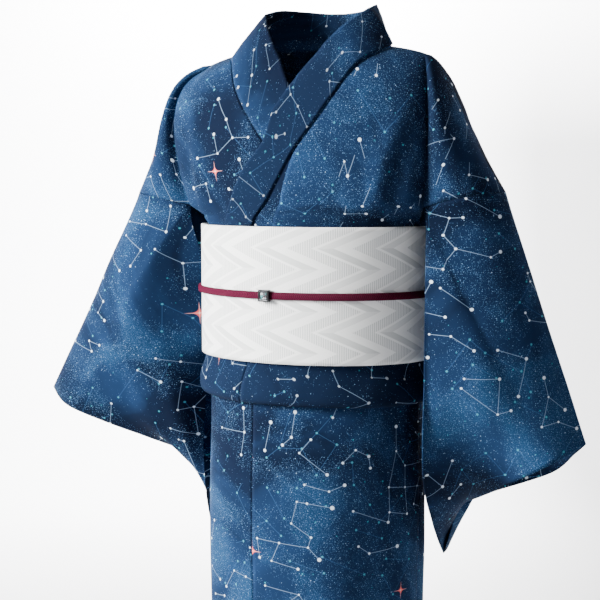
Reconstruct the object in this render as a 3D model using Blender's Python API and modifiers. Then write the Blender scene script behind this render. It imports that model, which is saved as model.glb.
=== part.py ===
"""A cotton yukata with its obi, worn on a general figure, closed left over right.

Metres, +Z up, front towards -Y, the wearer's left towards +X. The origin is on the centre plane, at the
height where the cloth rests on the shoulders beside the neck. Every piece is a thin wall round the empty
space that the wearer fills. Turn is an angle round the body: 0 at centre front, 90 at the left side and -90
at the right side.
"""
import math
from collections import namedtuple

import bmesh
import bpy
from mathutils import Vector

WALL = 0.0010            # cloth
LAYER = 0.0020           # from one layer of cloth to the next
SEAM = 0.0003            # left open between two sewn pieces
SIDE_SEAM = 89.0         # turn of the left side seam; the right one mirrors it
HEM = -1.250
TUCK = -0.458            # lower fold of the waist tuck
CORD_LINE = -0.345       # where the tuck folds down over the hidden waist tie
NEST = 0.010             # the right panel's folds lie this far above the left one's, inside them
SEAM_DROP = 0.205        # from the shoulder line down to the armhole seam

# How far each layer of cloth lies outside the left front panel, in layers.
Layers = namedtuple("Layers", "upper folded skirt")
LEFT = Layers(upper=0.0, folded=-6.0, skirt=-7.2)
RIGHT = Layers(upper=-3.0, folded=-4.5, skirt=-9.2)

# Sections of the body's cloth below the chest: half width and half depth.
Waist = namedtuple("Waist", "z half_width half_depth")
WAIST = [
    Waist(-0.225, 0.1620, 0.1220),
    Waist(-0.236, 0.1540, 0.1182),
    Waist(-0.300, 0.1535, 0.1180),
    Waist(-0.408, 0.1542, 0.1188),
    Waist(-0.438, 0.1630, 0.1240),
    Waist(-0.470, 0.1620, 0.1260),
    Waist(-0.600, 0.1645, 0.1285),
    Waist(-0.800, 0.1620, 0.1255),
    Waist(-1.000, 0.1585, 0.1220),
    Waist(HEM, 0.1560, 0.1190),
]

# The chest and upper arm, by the drop below the shoulder line. full is the share of the chest's depth
# reached; the armpit fold and the outer edge are half widths, for the left and the right side.
Chest = namedtuple("Chest", "drop full arm_full fold_left fold_right outer_left outer_right")
CHEST = [
    Chest(0.000, 0.00, 0.00, 0.148, 0.158, 0.160, 0.172),
    Chest(0.008, 0.22, 0.25, 0.156, 0.174, 0.167, 0.186),
    Chest(0.020, 0.42, 0.45, 0.161, 0.184, 0.174, 0.198),
    Chest(0.035, 0.58, 0.62, 0.165, 0.191, 0.182, 0.207),
    Chest(0.055, 0.71, 0.76, 0.168, 0.195, 0.190, 0.214),
    Chest(0.078, 0.80, 0.86, 0.170, 0.196, 0.199, 0.220),
    Chest(0.100, 0.855, 0.92, 0.171, 0.194, 0.206, 0.226),
    Chest(0.125, 0.905, 0.96, 0.171, 0.190, 0.217, 0.232),
    Chest(0.150, 0.945, 0.98, 0.171, 0.184, 0.228, 0.240),
    Chest(0.178, 0.975, 1.00, 0.170, 0.176, 0.242, 0.253),
    Chest(SEAM_DROP, 1.000, 1.00, 0.168, 0.166, 0.256, 0.2665),
]
CHEST_DEPTH = 0.112
BACK_DEPTH = 0.104
NAPE_DEPTH = 0.078       # the neck of the back panel stands this far behind the shoulder line
NECK_HALF = 0.108        # from the centre to where the collar crosses the shoulder line
ARM_DEPTH = 0.058
FOLD_SHARE = 0.82        # depth of the armpit fold as a share of the arm's
SHOULDER_FALL = 0.020    # the shoulder line falls this far from the neck to the shoulder's tip

# Turns of the left collar's seam, the left overlap's seam and the collar's free edge, by height.
Edge = namedtuple("Edge", "z collar_seam overlap_seam collar_free")
EDGES = [
    Edge(0.000, 46.0, 46.0, 30.0),
    Edge(-0.027, 32.0, 32.0, 20.0),
    Edge(-0.074, 21.4, 21.4, 8.0),
    Edge(-0.109, 13.6, 13.6, -1.0),
    Edge(-0.146, 5.0, 5.4, -12.5),
    Edge(-0.180, -1.0, 2.0, -20.5),
    Edge(-0.221, -9.0, -0.5, -28.0),
    Edge(-0.310, -38.0, -8.0, -60.0),
    Edge(-0.405, -68.0, -16.0, -92.0),
    Edge(TUCK, -72.0, -19.0, -96.0),
]
# Half turns of the panels' side edges below the armhole: an open slit that closes into the side seam.
Slit = namedtuple("Slit", "z side")
SLIT = [
    Slit(-0.205, 76.0),
    Slit(-0.236, 78.0),
    Slit(-0.300, 84.0),
    Slit(-0.355, SIDE_SEAM),
]
OVERLAP_SEAM_SKIRT = -15.0
WAIST_TOP = -0.222
OVERLAP_EDGE_SKIRT = -84.0

# The collar's free edge where it stands round the neck, from the nape forwards, in the order of the
# seam's rows.
Stand = namedtuple("Stand", "x y z")
NECK_STAND = [
    Stand(0.000, 0.094, 0.052),
    Stand(0.024, 0.090, 0.053),
    Stand(0.046, 0.075, 0.055),
    Stand(0.064, 0.046, 0.054),
]
SHOULDER_STAND = [
    (0.000, Stand(0.070, 0.008, 0.044)),
    (0.027, Stand(0.053, -0.025, 0.022)),
    (0.074, Stand(0.026, -0.060, -0.018)),
    (0.109, Stand(0.000, -0.090, -0.061)),
    (0.146, Stand(-0.022, -0.104, -0.098)),
]
RIGHT_COLLAR_SPREAD = 1.10

# Each sleeve: the low end of its top fold, the hanging body-side edges and the cuff edge down to the back
# corner.
Sleeve = namedtuple("Sleeve", "name side cuff_top front_edge back_edge cuff_front cuff_back bottom")
SLEEVES = [
    Sleeve(
        name="left", side=1, cuff_top=(0.364, 0.000, -0.497),
        front_edge=[(0.175, -0.056, -0.235), (0.179, -0.068, -0.300), (0.182, -0.078, -0.420),
                    (0.180, -0.072, -0.540), (0.172, -0.010, -0.620)],
        back_edge=[(0.178, 0.066, -0.235), (0.181, 0.092, -0.300), (0.184, 0.108, -0.420),
                   (0.182, 0.100, -0.540), (0.175, 0.072, -0.620)],
        cuff_front=[(0.331, -0.038, -0.518), (0.289, -0.028, -0.543), (0.232, 0.028, -0.579),
                    (0.184, 0.088, -0.608)],
        cuff_back=[(0.340, 0.046, -0.520), (0.302, 0.078, -0.555), (0.232, 0.028, -0.579),
                    (0.184, 0.088, -0.608)],
        bottom=[(0.170, 0.036, -0.668), (0.162, 0.078, -0.672), (0.152, 0.122, -0.664), (0.142, 0.160, -0.630)],
    ),
    Sleeve(
        name="right", side=-1, cuff_top=(0.425, -0.010, -0.480),
        front_edge=[(0.169, -0.036, -0.235), (0.169, -0.006, -0.300), (0.171, 0.008, -0.420),
                    (0.184, 0.016, -0.540), (0.185, 0.024, -0.620)],
        back_edge=[(0.186, 0.066, -0.235), (0.192, 0.096, -0.300), (0.194, 0.110, -0.420),
                   (0.192, 0.100, -0.540), (0.188, 0.072, -0.620)],
        cuff_front=[(0.381, -0.038, -0.499), (0.330, -0.020, -0.522), (0.266, 0.022, -0.552),
                    (0.206, 0.086, -0.588)],
        cuff_back=[(0.390, 0.040, -0.502), (0.344, 0.070, -0.530), (0.266, 0.022, -0.552),
                    (0.206, 0.086, -0.588)],
        bottom=[(0.184, 0.036, -0.669), (0.180, 0.078, -0.671), (0.172, 0.120, -0.658), (0.162, 0.156, -0.618)],
    ),
]
# Long soft folds that hang in the sleeves: where across the sleeve, how wide and how deep. A ridge is
# negative.
Fold = namedtuple("Fold", "side across width depth")
SLEEVE_FOLDS = [
    Fold(1, 0.16, 0.10, 0.004),
    Fold(1, 0.74, 0.11, 0.006),
    Fold(-1, 0.34, 0.13, -0.006),
    Fold(-1, 0.62, 0.12, 0.007),
    Fold(-1, 0.84, 0.09, -0.004),
]
# The front layer's broad ridge, where the cloth that hangs from the arm turns back to the top fold: its
# distance from the centre plane, its width and how far it stands forward.
Ridge = namedtuple("Ridge", "side x width forward")
RIDGES = [
    Ridge(1, 0.250, 0.060, 0.014),
    Ridge(-1, 0.236, 0.055, 0.020),
]
ARM_SHARE = 0.17         # share of the sleeve's depth sewn across the arm
CUFF_OPEN = 0.5          # share of the cuff edge, from the top fold, left open
SLEEVE_SWELL = 0.020     # how far each layer stands off the straight sheet below the arm
SLEEVE_COLUMNS = 12

OBI_TOP = -0.2335
OBI_HEIGHT = 0.171
OBI_WALL = 0.0030
OBI_HALF_WIDTH = 0.1585
OBI_HALF_DEPTH = 0.1235
OBI_COLUMNS = 48

CORD_WIDTH = 0.0095
CORD_WALL = 0.0040
CORD_GAP = 0.0006
CLIP_SIZE = 0.0150
CLIP_WALL = 0.0030
CLIP_TURN = -3.6

KNOT_HALF = 0.030
BOW_LENGTH = 0.150
BOW_HEIGHT = 0.105

CLOTH = "cotton_navy"
COLLAR = "cotton_collar"
OBI = "obi_white"
CORD = "cord_burgundy"
METAL = "clip_black"
MOSAIC = "clip_mosaic"
COLOURS = {
    CLOTH: ((0.014, 0.040, 0.130, 1.0), 0.85, 0.0),
    COLLAR: ((0.012, 0.036, 0.115, 1.0), 0.85, 0.0),
    OBI: ((0.80, 0.81, 0.82, 1.0), 0.60, 0.0),
    CORD: ((0.16, 0.010, 0.055, 1.0), 0.60, 0.0),
    METAL: ((0.02, 0.02, 0.02, 1.0), 0.30, 0.6),
    MOSAIC: ((0.75, 0.77, 0.80, 1.0), 0.25, 0.4),
}


def clear_scene():
    for old in list(bpy.data.objects):
        bpy.data.objects.remove(old, do_unlink=True)


def make_materials():
    made = {}
    for name, (colour, roughness, metallic) in COLOURS.items():
        material = bpy.data.materials.new(name)
        material.use_nodes = True
        shader = material.node_tree.nodes["Principled BSDF"]
        shader.inputs["Base Color"].default_value = colour
        shader.inputs["Roughness"].default_value = roughness
        shader.inputs["Metallic"].default_value = metallic
        material.diffuse_color = colour
        made[name] = material
    return made


def lerp(a, b, t):
    return a + (b - a) * t


def ease(t):
    """0 up to 0 and 1 from 1, with a smooth rise between."""
    t = min(max(t, 0.0), 1.0)
    return t * t * (3 - 2 * t)


def table_at(rows, key, field, at):
    """A table's value between its rows, on a smooth curve through them."""
    keys = [getattr(row, key) for row in rows]
    values = [getattr(row, field) for row in rows]
    if keys[0] > keys[-1]:
        keys = [-k for k in keys]
        at = -at
    at = min(max(at, keys[0]), keys[-1])
    i = max(n for n in range(len(keys) - 1) if keys[n] <= at)
    t = (at - keys[i]) / (keys[i + 1] - keys[i])

    def slope(n):
        low = max(n - 1, 0)
        high = min(n + 1, len(keys) - 1)
        before = (values[n] - values[low]) / max(keys[n] - keys[low], 1e-9)
        after = (values[high] - values[n]) / max(keys[high] - keys[n], 1e-9)
        if n in (0, len(keys) - 1) or before * after <= 0:
            return 0.0 if 0 < n < len(keys) - 1 else before + after
        return 2 * before * after / (before + after)

    step = keys[i + 1] - keys[i]
    square = t * t
    cube = square * t
    return (
        values[i] * (2 * cube - 3 * square + 1)
        + values[i + 1] * (3 * square - 2 * cube)
        + step * slope(i) * (cube - 2 * square + t)
        + step * slope(i + 1) * (cube - square)
    )


def shoulder_line(x):
    """Height of the shoulder line at a distance from the centre."""
    return -SHOULDER_FALL * (min(abs(x), 0.170) / 0.160) ** 3


def side_field(part, side):
    return f"{part}_{'left' if side > 0 else 'right'}"


def waist_point(turn, z, lift):
    """A point of the body's cloth below the chest, turned round the body from centre front."""
    width = table_at(WAIST, "z", "half_width", z) + lift
    depth = table_at(WAIST, "z", "half_depth", z) + lift
    angle = math.radians(turn)
    return Vector((width * math.sin(angle), -depth * math.cos(angle), z))


def cloth_point(turn, z, lift):
    """A point on the front's cloth at a height near the centre, from the neck down to the hem."""
    last = WAIST_TOP
    if z >= -SEAM_DROP:
        return chest_point(turn, -z, lift)
    if z <= last:
        return waist_point(turn, z, lift)
    share = (z + SEAM_DROP) / (last + SEAM_DROP)
    return chest_point(turn, SEAM_DROP, lift).lerp(waist_point(turn, last, lift), share)


def chest_point(turn, drop, lift, back=False):
    """A point of the chest or back between the two armpit folds."""
    angle = math.radians(turn)
    side = 1 if turn >= 0 else -1
    width = table_at(CHEST, "drop", side_field("fold", side), drop)
    share = abs(math.sin(angle))
    full = table_at(CHEST, "drop", "full", drop)
    fold_depth = ARM_DEPTH * FOLD_SHARE * table_at(CHEST, "drop", "arm_full", drop)
    depth = BACK_DEPTH if back else CHEST_DEPTH
    rise = (1 - share ** 2.4) ** 0.5
    y = fold_depth + (depth * full - fold_depth) * rise
    x = width * math.sin(angle)
    if back:
        stand = NAPE_DEPTH * max(0.0, 1 - (x / NECK_HALF) ** 2) * (1 - full)
        y += stand
    z = shoulder_line(x) * (1 - drop / 0.25) - drop
    out = lift * (0.25 + 0.75 * full)
    y += out
    x += out * math.sin(angle) * 0.5
    return Vector((x, y if back else -y, z))


def arm_point(across, drop, side, lift, back=False):
    """A point over the upper arm: across runs from the armpit fold, 0, to the top of the arm, 1."""
    inner = table_at(CHEST, "drop", side_field("fold", side), drop)
    outer = table_at(CHEST, "drop", side_field("outer", side), drop)
    start = math.pi - math.asin(FOLD_SHARE)
    angle = start * (1 - across)
    radius = (outer - inner) / (1 - math.cos(start))
    x = outer - radius + radius * math.cos(angle)
    depth = ARM_DEPTH * table_at(CHEST, "drop", "arm_full", drop)
    y = depth * math.sin(angle)
    fold_z = shoulder_line(inner) * (1 - drop / 0.25) - drop
    outer_z = -SHOULDER_FALL - drop * 0.83
    z = lerp(fold_z, outer_z, math.sin(across * math.pi / 2))
    out = lift * (1 - across) * min(1.0, drop / 0.035)
    return Vector((side * x, (y + out) * (1 if back else -1), z))


def loop_grid(columns, rows, point_at, keep=None):
    """A grid of cloth: point_at gives the place of each column and row."""
    mesh = bmesh.new()
    bmesh.ops.create_grid(mesh, x_segments=columns, y_segments=rows, size=0.5)
    index = {}
    for vertex in mesh.verts:
        column = round((vertex.co.x + 0.5) * columns)
        row = round((vertex.co.y + 0.5) * rows)
        index[vertex] = (column, row)
    if keep:
        outside = []
        for face in mesh.faces:
            column = min(index[v][0] for v in face.verts)
            row = min(index[v][1] for v in face.verts)
            if not keep(column, row):
                outside.append(face)
        bmesh.ops.delete(mesh, geom=outside, context="FACES")
    for vertex in mesh.verts:
        vertex.co = point_at(*index[vertex])
    return mesh


def join(target, other):
    spare = bpy.data.meshes.new("spare")
    other.to_mesh(spare)
    other.free()
    target.from_mesh(spare)
    bpy.data.meshes.remove(spare)


def face_outward(mesh, centre):
    """Turns a sheet's outside away from a point inside it, where one is given."""
    bmesh.ops.recalc_face_normals(mesh, faces=mesh.faces)
    if centre is None:
        return
    facing = sum(
        face.normal.dot(face.calc_center_median() - centre) * face.calc_area() for face in mesh.faces
    )
    if facing < 0:
        bmesh.ops.reverse_faces(mesh, faces=mesh.faces)


def finish_piece(name, mesh, material, collection, wall=WALL, offset=0.0, outward=None):
    """Turns an open sheet into a named piece with a wall. Its outside faces away from the point outward."""
    bmesh.ops.remove_doubles(mesh, verts=mesh.verts, dist=0.00005)
    face_outward(mesh, outward)
    data = bpy.data.meshes.new(name)
    mesh.to_mesh(data)
    mesh.free()
    data.shade_smooth()
    piece = bpy.data.objects.new(name, data)
    piece.data.materials.append(material)
    collection.objects.link(piece)
    shell = piece.modifiers.new("wall", "SOLIDIFY")
    shell.thickness = wall
    shell.offset = offset
    return piece


CHEST_DROPS = [row.drop for row in CHEST]
SKIRT_HEIGHTS = (-0.432, -0.480, -0.560, -0.680, -0.820, -0.960, -1.110, HEM)


def lower_levels(layers):
    """The path of one panel from the chest down round the waist tuck to the hem, as heights and layers."""
    rise = 0.0 if layers is LEFT else NEST
    path = [(z, layers.upper) for z in (WAIST_TOP, -0.236, -0.300, -0.355, -0.405, -0.432, TUCK + 0.007 + rise)]
    path.append((TUCK + rise, lerp(layers.upper, layers.folded, 0.5)))
    path += [(z, layers.folded) for z in (TUCK + 0.007 + rise, -0.432, -0.405, -0.355)]
    path.append((CORD_LINE + rise, lerp(layers.folded, layers.skirt, 0.5)))
    path += [(z, layers.skirt) for z in (-0.355, -0.405) + SKIRT_HEIGHTS]
    return path


def edge_turn(field, z, on_skirt):
    """Turn of a left front edge at a height; a skirt's edges hang straight."""
    if field == "side":
        return table_at(SLIT, "z", "side", z)
    if on_skirt:
        return OVERLAP_SEAM_SKIRT if field == "overlap_seam" else OVERLAP_EDGE_SKIRT
    return table_at(EDGES, "z", field, z)


def front_rows(layers, inner, outer):
    """Rows of a left front piece: (kind, height, lift, inner turn, outer turn)."""
    rows = []
    for drop in CHEST_DROPS:
        turns = edge_turn(inner, -drop, False), edge_turn(outer, -drop, False)
        rows.append(("chest", drop, layers.upper * LAYER, *turns))
    skirt = False
    reached = False
    for z, layer in lower_levels(layers):
        reached = reached or layer == layers.folded
        skirt = skirt or layer == layers.skirt
        share = 0.0
        if reached and not skirt:
            share = (z - TUCK) / (CORD_LINE - TUCK)
        ends = []
        for field in (inner, outer):
            above = edge_turn(field, TUCK if reached else max(z, TUCK), False)
            below = edge_turn(field, HEM, True)
            ends.append(below if skirt else lerp(above, below, min(max(share, 0.0), 1.0)))
        rows.append(("waist", z, layer * LAYER, ends[0], ends[1]))
    return rows


def row_point(row, share, mirror):
    """A point of a front row, share of the way from its inner to its outer edge."""
    kind, height, lift, inner, outer = row
    turn = lerp(inner, outer, share) * mirror
    if kind == "waist":
        return waist_point(turn, height, lift)
    return chest_point(min(max(turn, -90.0), 90.0), height, lift)


CHEST_COLUMNS = 9
ARM_COLUMNS = 4
NECK_COLUMNS = 4
NECK_TURN = 46.0
BACK_TURNS = [NECK_TURN * k / NECK_COLUMNS for k in range(NECK_COLUMNS)]
BACK_TURNS += [lerp(NECK_TURN, 90.0, k / CHEST_COLUMNS) for k in range(CHEST_COLUMNS + 1)]


def body_panel(side, layers, materials, collection):
    """One body panel: front, shoulder and back in one length, with the sleeve's edge left open."""
    rows = front_rows(layers, "overlap_seam", "side")
    others = front_rows(RIGHT if layers is LEFT else LEFT, "overlap_seam", "side")
    seam_row = len(CHEST_DROPS) - 1
    back_columns = len(BACK_TURNS) - 1

    def arm(column, row, back):
        return arm_point(column / ARM_COLUMNS, CHEST_DROPS[min(row, seam_row)], side, rows[row][2], back)

    def front(column, row):
        if column > CHEST_COLUMNS:
            return arm(column - CHEST_COLUMNS, row, False)
        kind, height, lift, inner, outer = rows[row]
        if kind == "chest":
            outer = 90.0
        point = row_point((kind, height, lift, inner, outer), column / CHEST_COLUMNS, side)
        if column == 0 and row > 0:
            point.x += side * SEAM / 2
        return point

    def back(column, row):
        if column > back_columns:
            return arm(column - back_columns, row, True)
        kind, height, lift, inner, outer = rows[row]
        turn = BACK_TURNS[column]
        lift = lerp((lift + others[row][2]) / 2, lift, turn / 90.0)
        if kind == "chest":
            point = chest_point(turn * side, height, lift, back=True)
        else:
            point = waist_point(lerp(180.0, 180.25 - outer, turn / 90.0) * side, height, lift)
        if column == 0:
            point.x += side * SEAM / 2
        return point

    mesh = loop_grid(
        CHEST_COLUMNS + ARM_COLUMNS, len(rows) - 1, front,
        lambda column, row: column < CHEST_COLUMNS or row < seam_row,
    )
    join(mesh, loop_grid(
        back_columns + ARM_COLUMNS, len(rows) - 1, back,
        lambda column, row: column < back_columns or row < seam_row,
    ))
    name = "body_panel_left" if side > 0 else "body_panel_right"
    return finish_piece(name, mesh, materials[CLOTH], collection, outward=Vector((side * 0.05, 0.0, -0.4)))


def overlap_panel(side, layers, materials, collection):
    """One overlap panel: a long strip that tapers to a point at the collar's seam."""
    first = next(n for n, drop in enumerate(CHEST_DROPS) if drop >= 0.150)
    rows = front_rows(layers, "collar_seam", "overlap_seam")[first:]
    columns = 6

    def place(column, row):
        point = row_point(rows[row], column / columns, side)
        if column == 0:
            point.x += side * SEAM
        if column == columns:
            point.x -= side * SEAM / 2
        return point

    mesh = loop_grid(columns, len(rows) - 1, place)
    name = "overlap_panel_left" if side > 0 else "overlap_panel_right"
    return finish_piece(name, mesh, materials[CLOTH], collection, outward=Vector((0.0, 0.0, -0.4)))


COLLAR_COLUMNS = 4
COLLAR_GAP = 0.0015
COLLAR_RISE = 0.020      # the free edge of a collar row lies this far above its seam
COLLAR_CROWN = 0.004
LEFT_COLLAR_ROWS = 6     # rows below the chest: the left collar runs down to the waist tuck,
RIGHT_COLLAR_ROWS = 3    # and the right one ends under the obi
LEFT_COVER_ROWS = 2
RIGHT_COVER_ROWS = -1    # the right cover ends above the chest's last row


def collar_row(side, layers, row):
    """Seam and free edge of the collar at a row below the shoulder."""
    place = front_rows(layers, "collar_seam", "overlap_seam")[row]
    seam = row_point(place, 0.0, side)
    drop = -place[1] if place[0] == "waist" else place[1]
    keys = [at for at, _ in SHOULDER_STAND]
    if drop <= keys[-1]:
        i = min(n for n in range(1, len(keys)) if drop <= keys[n])
        t = (drop - keys[i - 1]) / (keys[i] - keys[i - 1])
        low, high = SHOULDER_STAND[i - 1][1], SHOULDER_STAND[i][1]
        spread = RIGHT_COLLAR_SPREAD if side < 0 and i < 3 else 1.0
        free = Vector((side * spread * lerp(low.x, high.x, t), lerp(low.y, high.y, t), lerp(low.z, high.z, t)))
        free.y -= place[2] * min(1.0, drop / keys[3])
        return seam, free
    height = -drop + COLLAR_RISE
    return seam, cloth_point(table_at(EDGES, "z", "collar_free", height) * side, height, place[2])


def nape_row(side, layers, row):
    """Seam and free edge of the collar at a row behind the neck, where it follows the back panel's edge."""
    seam = chest_point(BACK_TURNS[row] * side, 0.0, (LEFT.upper + RIGHT.upper) / 2 * LAYER, back=True)
    stand = NECK_STAND[row]
    spread = RIGHT_COLLAR_SPREAD if side < 0 else 1.0
    return seam, Vector((side * spread * stand.x, stand.y, stand.z))


def front_turn(point):
    """Turn of a point that lies over the front's cloth."""
    if point.z >= WAIST_TOP:
        field = "fold_left" if point.x > 0 else "fold_right"
        width = table_at(CHEST, "drop", field, max(-point.z, 0.0))
        return math.degrees(math.asin(max(-1.0, min(1.0, point.x / width))))
    width = table_at(WAIST, "z", "half_width", point.z)
    depth = table_at(WAIST, "z", "half_depth", point.z)
    return math.degrees(math.atan2(point.x / width, -point.y / depth))


def collar_sheet(left_rows, right_rows, start, out):
    """The collar from the left front round the neck to the right front. start is where it begins across its width,
    and out is how far it lies outside the cloth."""
    chest_rows = len(CHEST_DROPS)
    stations = [(1, LEFT, row, False) for row in reversed(range(chest_rows + left_rows))]
    stations += [(1, LEFT, row, True) for row in reversed(range(NECK_COLUMNS))]
    stations += [(-1, RIGHT, row, True) for row in range(1, NECK_COLUMNS)]
    stations += [(-1, RIGHT, row, False) for row in range(chest_rows + right_rows)]

    def place(column, row):
        side, layers, at, behind = stations[row]
        seam, free = (nape_row if behind else collar_row)(side, layers, at)
        across = free - seam
        share = lerp(start, 1.0, column / COLLAR_COLUMNS)
        point = seam + across * share + across.normalized() * COLLAR_GAP * (1 - share)
        on_chest = 0.0 if behind else min(1.0, at / 6)
        if on_chest == 1.0:
            flat = cloth_point(front_turn(point), point.z, layers.upper * LAYER)
            point.y = flat.y
            if point.z < WAIST_TOP:
                point.x = flat.x
        else:
            middle = Vector((0.0, 0.03, point.z))
            point += (point - middle).normalized() * COLLAR_CROWN * math.sin(math.pi * share) * (1 - on_chest)
        return point

    mesh = loop_grid(COLLAR_COLUMNS, len(stations) - 1, place)
    face_outward(mesh, Vector((0.0, 0.0, -0.10)))
    mesh.normal_update()
    for vertex in mesh.verts:
        vertex.co += vertex.normal * out
    return mesh


def collar(materials, collection):
    neck = Vector((0.0, 0.0, -0.10))
    band = collar_sheet(LEFT_COLLAR_ROWS, RIGHT_COLLAR_ROWS, 0.0, 0.0)
    cover = collar_sheet(LEFT_COVER_ROWS, RIGHT_COVER_ROWS, 0.03, LAYER)
    finish_piece("collar_band", band, materials[COLLAR], collection, outward=neck)
    finish_piece("collar_cover", cover, materials[COLLAR], collection, outward=neck)


def curve_at(points, share):
    """A point on the smooth curve through the points, share of the way along."""
    last = len(points) - 1
    at = min(max(share, 0.0), 1.0) * last
    i = min(int(at), last - 1)
    t = at - i
    before = points[max(i - 1, 0)]
    after = points[min(i + 2, last)]
    a, b = points[i], points[i + 1]
    return (
        a * (1 - 3 * t * t + 2 * t ** 3)
        + b * (3 * t * t - 2 * t ** 3)
        + (b - before) * 0.5 * (t ** 3 - 2 * t * t + t)
        + (after - a) * 0.5 * (t ** 3 - t * t)
    )


HANG_ROWS = 7


def sleeve(cut, materials, collection):
    """One sleeve: two layers joined at the top fold, the bottom and the low part of the cuff edge."""
    def placed(xyz):
        return Vector((xyz[0] * cut.side, xyz[1], xyz[2]))

    top = arm_point(1.0, SEAM_DROP, cut.side, 0.0)
    cuff_top = placed(cut.cuff_top)
    along = (cuff_top - top).normalized()
    bottom = [placed(p) for p in cut.bottom]
    rows = ARM_COLUMNS + HANG_ROWS

    def share_of(row):
        if row <= ARM_COLUMNS:
            return ARM_SHARE * row / ARM_COLUMNS
        return lerp(ARM_SHARE, 1.0, (row - ARM_COLUMNS) / HANG_ROWS)

    def body_edge(row, back):
        if row <= ARM_COLUMNS:
            lift = (LEFT if cut.side > 0 else RIGHT).upper * LAYER
            point = arm_point(1 - row / ARM_COLUMNS, SEAM_DROP, cut.side, lift, back) + along * 2 * SEAM
            point.x += cut.side * 0.002 * (row / ARM_COLUMNS) ** 2
            return point
        start = body_edge(ARM_COLUMNS, back)
        hang = [placed(p) for p in (cut.back_edge if back else cut.front_edge)]
        return curve_at([start] + hang + [bottom[0]], (row - ARM_COLUMNS) / HANG_ROWS)

    def cuff_edge(row, back):
        share = share_of(row)
        front = [cuff_top] + [placed(p) for p in cut.cuff_front] + [bottom[-1]]
        behind = [cuff_top] + [placed(p) for p in cut.cuff_back] + [bottom[-1]]
        return curve_at(behind if back and share < CUFF_OPEN + 0.05 else front, share)

    def layer(back):
        def place(column, row):
            u = column / SLEEVE_COLUMNS
            w = share_of(row)
            fold = top.lerp(cuff_top, u) + along * 2 * SEAM * (1 - u)
            low = curve_at(bottom, u)
            point = (
                fold * (1 - w) + low * w
                + body_edge(row, back) * (1 - u) + cuff_edge(row, back) * u
                - body_edge(0, back) * (1 - u) * (1 - w) - cuff_top * u * (1 - w)
                - bottom[0] * (1 - u) * w - bottom[-1] * u * w
            )
            swell = SLEEVE_SWELL * math.sin(math.pi * w) * math.sin(math.pi * u)
            point.y += swell if back else -swell
            for ridge in RIDGES:
                if ridge.side == cut.side and not back:
                    near = math.exp(-((abs(point.x) - ridge.x) / ridge.width) ** 2)
                    down = ease(w / 0.14) * (1 - ease((w - 0.60) / 0.40))
                    across = ease(u / 0.32) * (1 - ease((u - 0.75) / 0.25))
                    point.y -= ridge.forward * near * down * across
            hang = math.sin(math.pi * min(1.0, 0.08 + 0.72 * w))
            for fold in SLEEVE_FOLDS:
                if fold.side == cut.side:
                    point.y += fold.depth * hang * math.exp(-((u - fold.across) / fold.width) ** 2)
            return point

        return loop_grid(SLEEVE_COLUMNS, rows, place)

    mesh = layer(False)
    join(mesh, layer(True))
    return finish_piece(f"sleeve_{cut.name}", mesh, materials[CLOTH], collection)


def ring(name, columns, heights, point_at, wall, material, collection):
    """A closed band: point_at gives the place of each column and height."""
    def place(column, row):
        return point_at(column % columns, heights[row])

    mesh = loop_grid(columns, len(heights) - 1, place)
    return finish_piece(name, mesh, material, collection, wall=wall, outward=Vector((0.0, 0.0, -0.32)))


def obi(materials, collection):
    heights = [OBI_TOP - OBI_HEIGHT * k / 4 for k in range(5)]

    def band(column, z):
        angle = math.tau * column / OBI_COLUMNS
        return Vector((OBI_HALF_WIDTH * math.sin(angle), -OBI_HALF_DEPTH * math.cos(angle), z))

    ring("obi_band", OBI_COLUMNS, heights, band, OBI_WALL, materials[OBI], collection)

    out = OBI_WALL / 2 + CORD_GAP + CORD_WALL / 2
    middle = OBI_TOP - OBI_HEIGHT / 2

    def cord(column, z):
        angle = math.tau * column / OBI_COLUMNS
        width, depth = OBI_HALF_WIDTH + out, OBI_HALF_DEPTH + out
        return Vector((width * math.sin(angle), -depth * math.cos(angle), z))

    levels = [middle + CORD_WIDTH / 2, middle - CORD_WIDTH / 2]
    ring("obijime_cord", OBI_COLUMNS, levels, cord, CORD_WALL, materials[CORD], collection)


def box(name, size, place, material, collection):
    """A block given by its size and middle, turned to face away from the body at the clip."""
    mesh = bmesh.new()
    bmesh.ops.create_cube(mesh, size=1.0)
    bmesh.ops.scale(mesh, vec=size, verts=mesh.verts)
    data = bpy.data.meshes.new(name)
    mesh.to_mesh(data)
    mesh.free()
    piece = bpy.data.objects.new(name, data)
    if material:
        piece.data.materials.append(material)
    collection.objects.link(piece)
    angle = math.radians(CLIP_TURN)
    radial = Vector((math.sin(angle), -math.cos(angle), 0.0))
    face_turn = math.atan2(math.sin(angle) / OBI_HALF_WIDTH, math.cos(angle) / OBI_HALF_DEPTH)
    piece.rotation_euler = (0.0, 0.0, face_turn)
    out = OBI_WALL / 2 + CORD_GAP + CORD_WALL + place
    width, depth = OBI_HALF_WIDTH + out, OBI_HALF_DEPTH + out
    piece.location = Vector((width * radial.x, depth * radial.y, OBI_TOP - OBI_HEIGHT / 2))
    return piece


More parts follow.
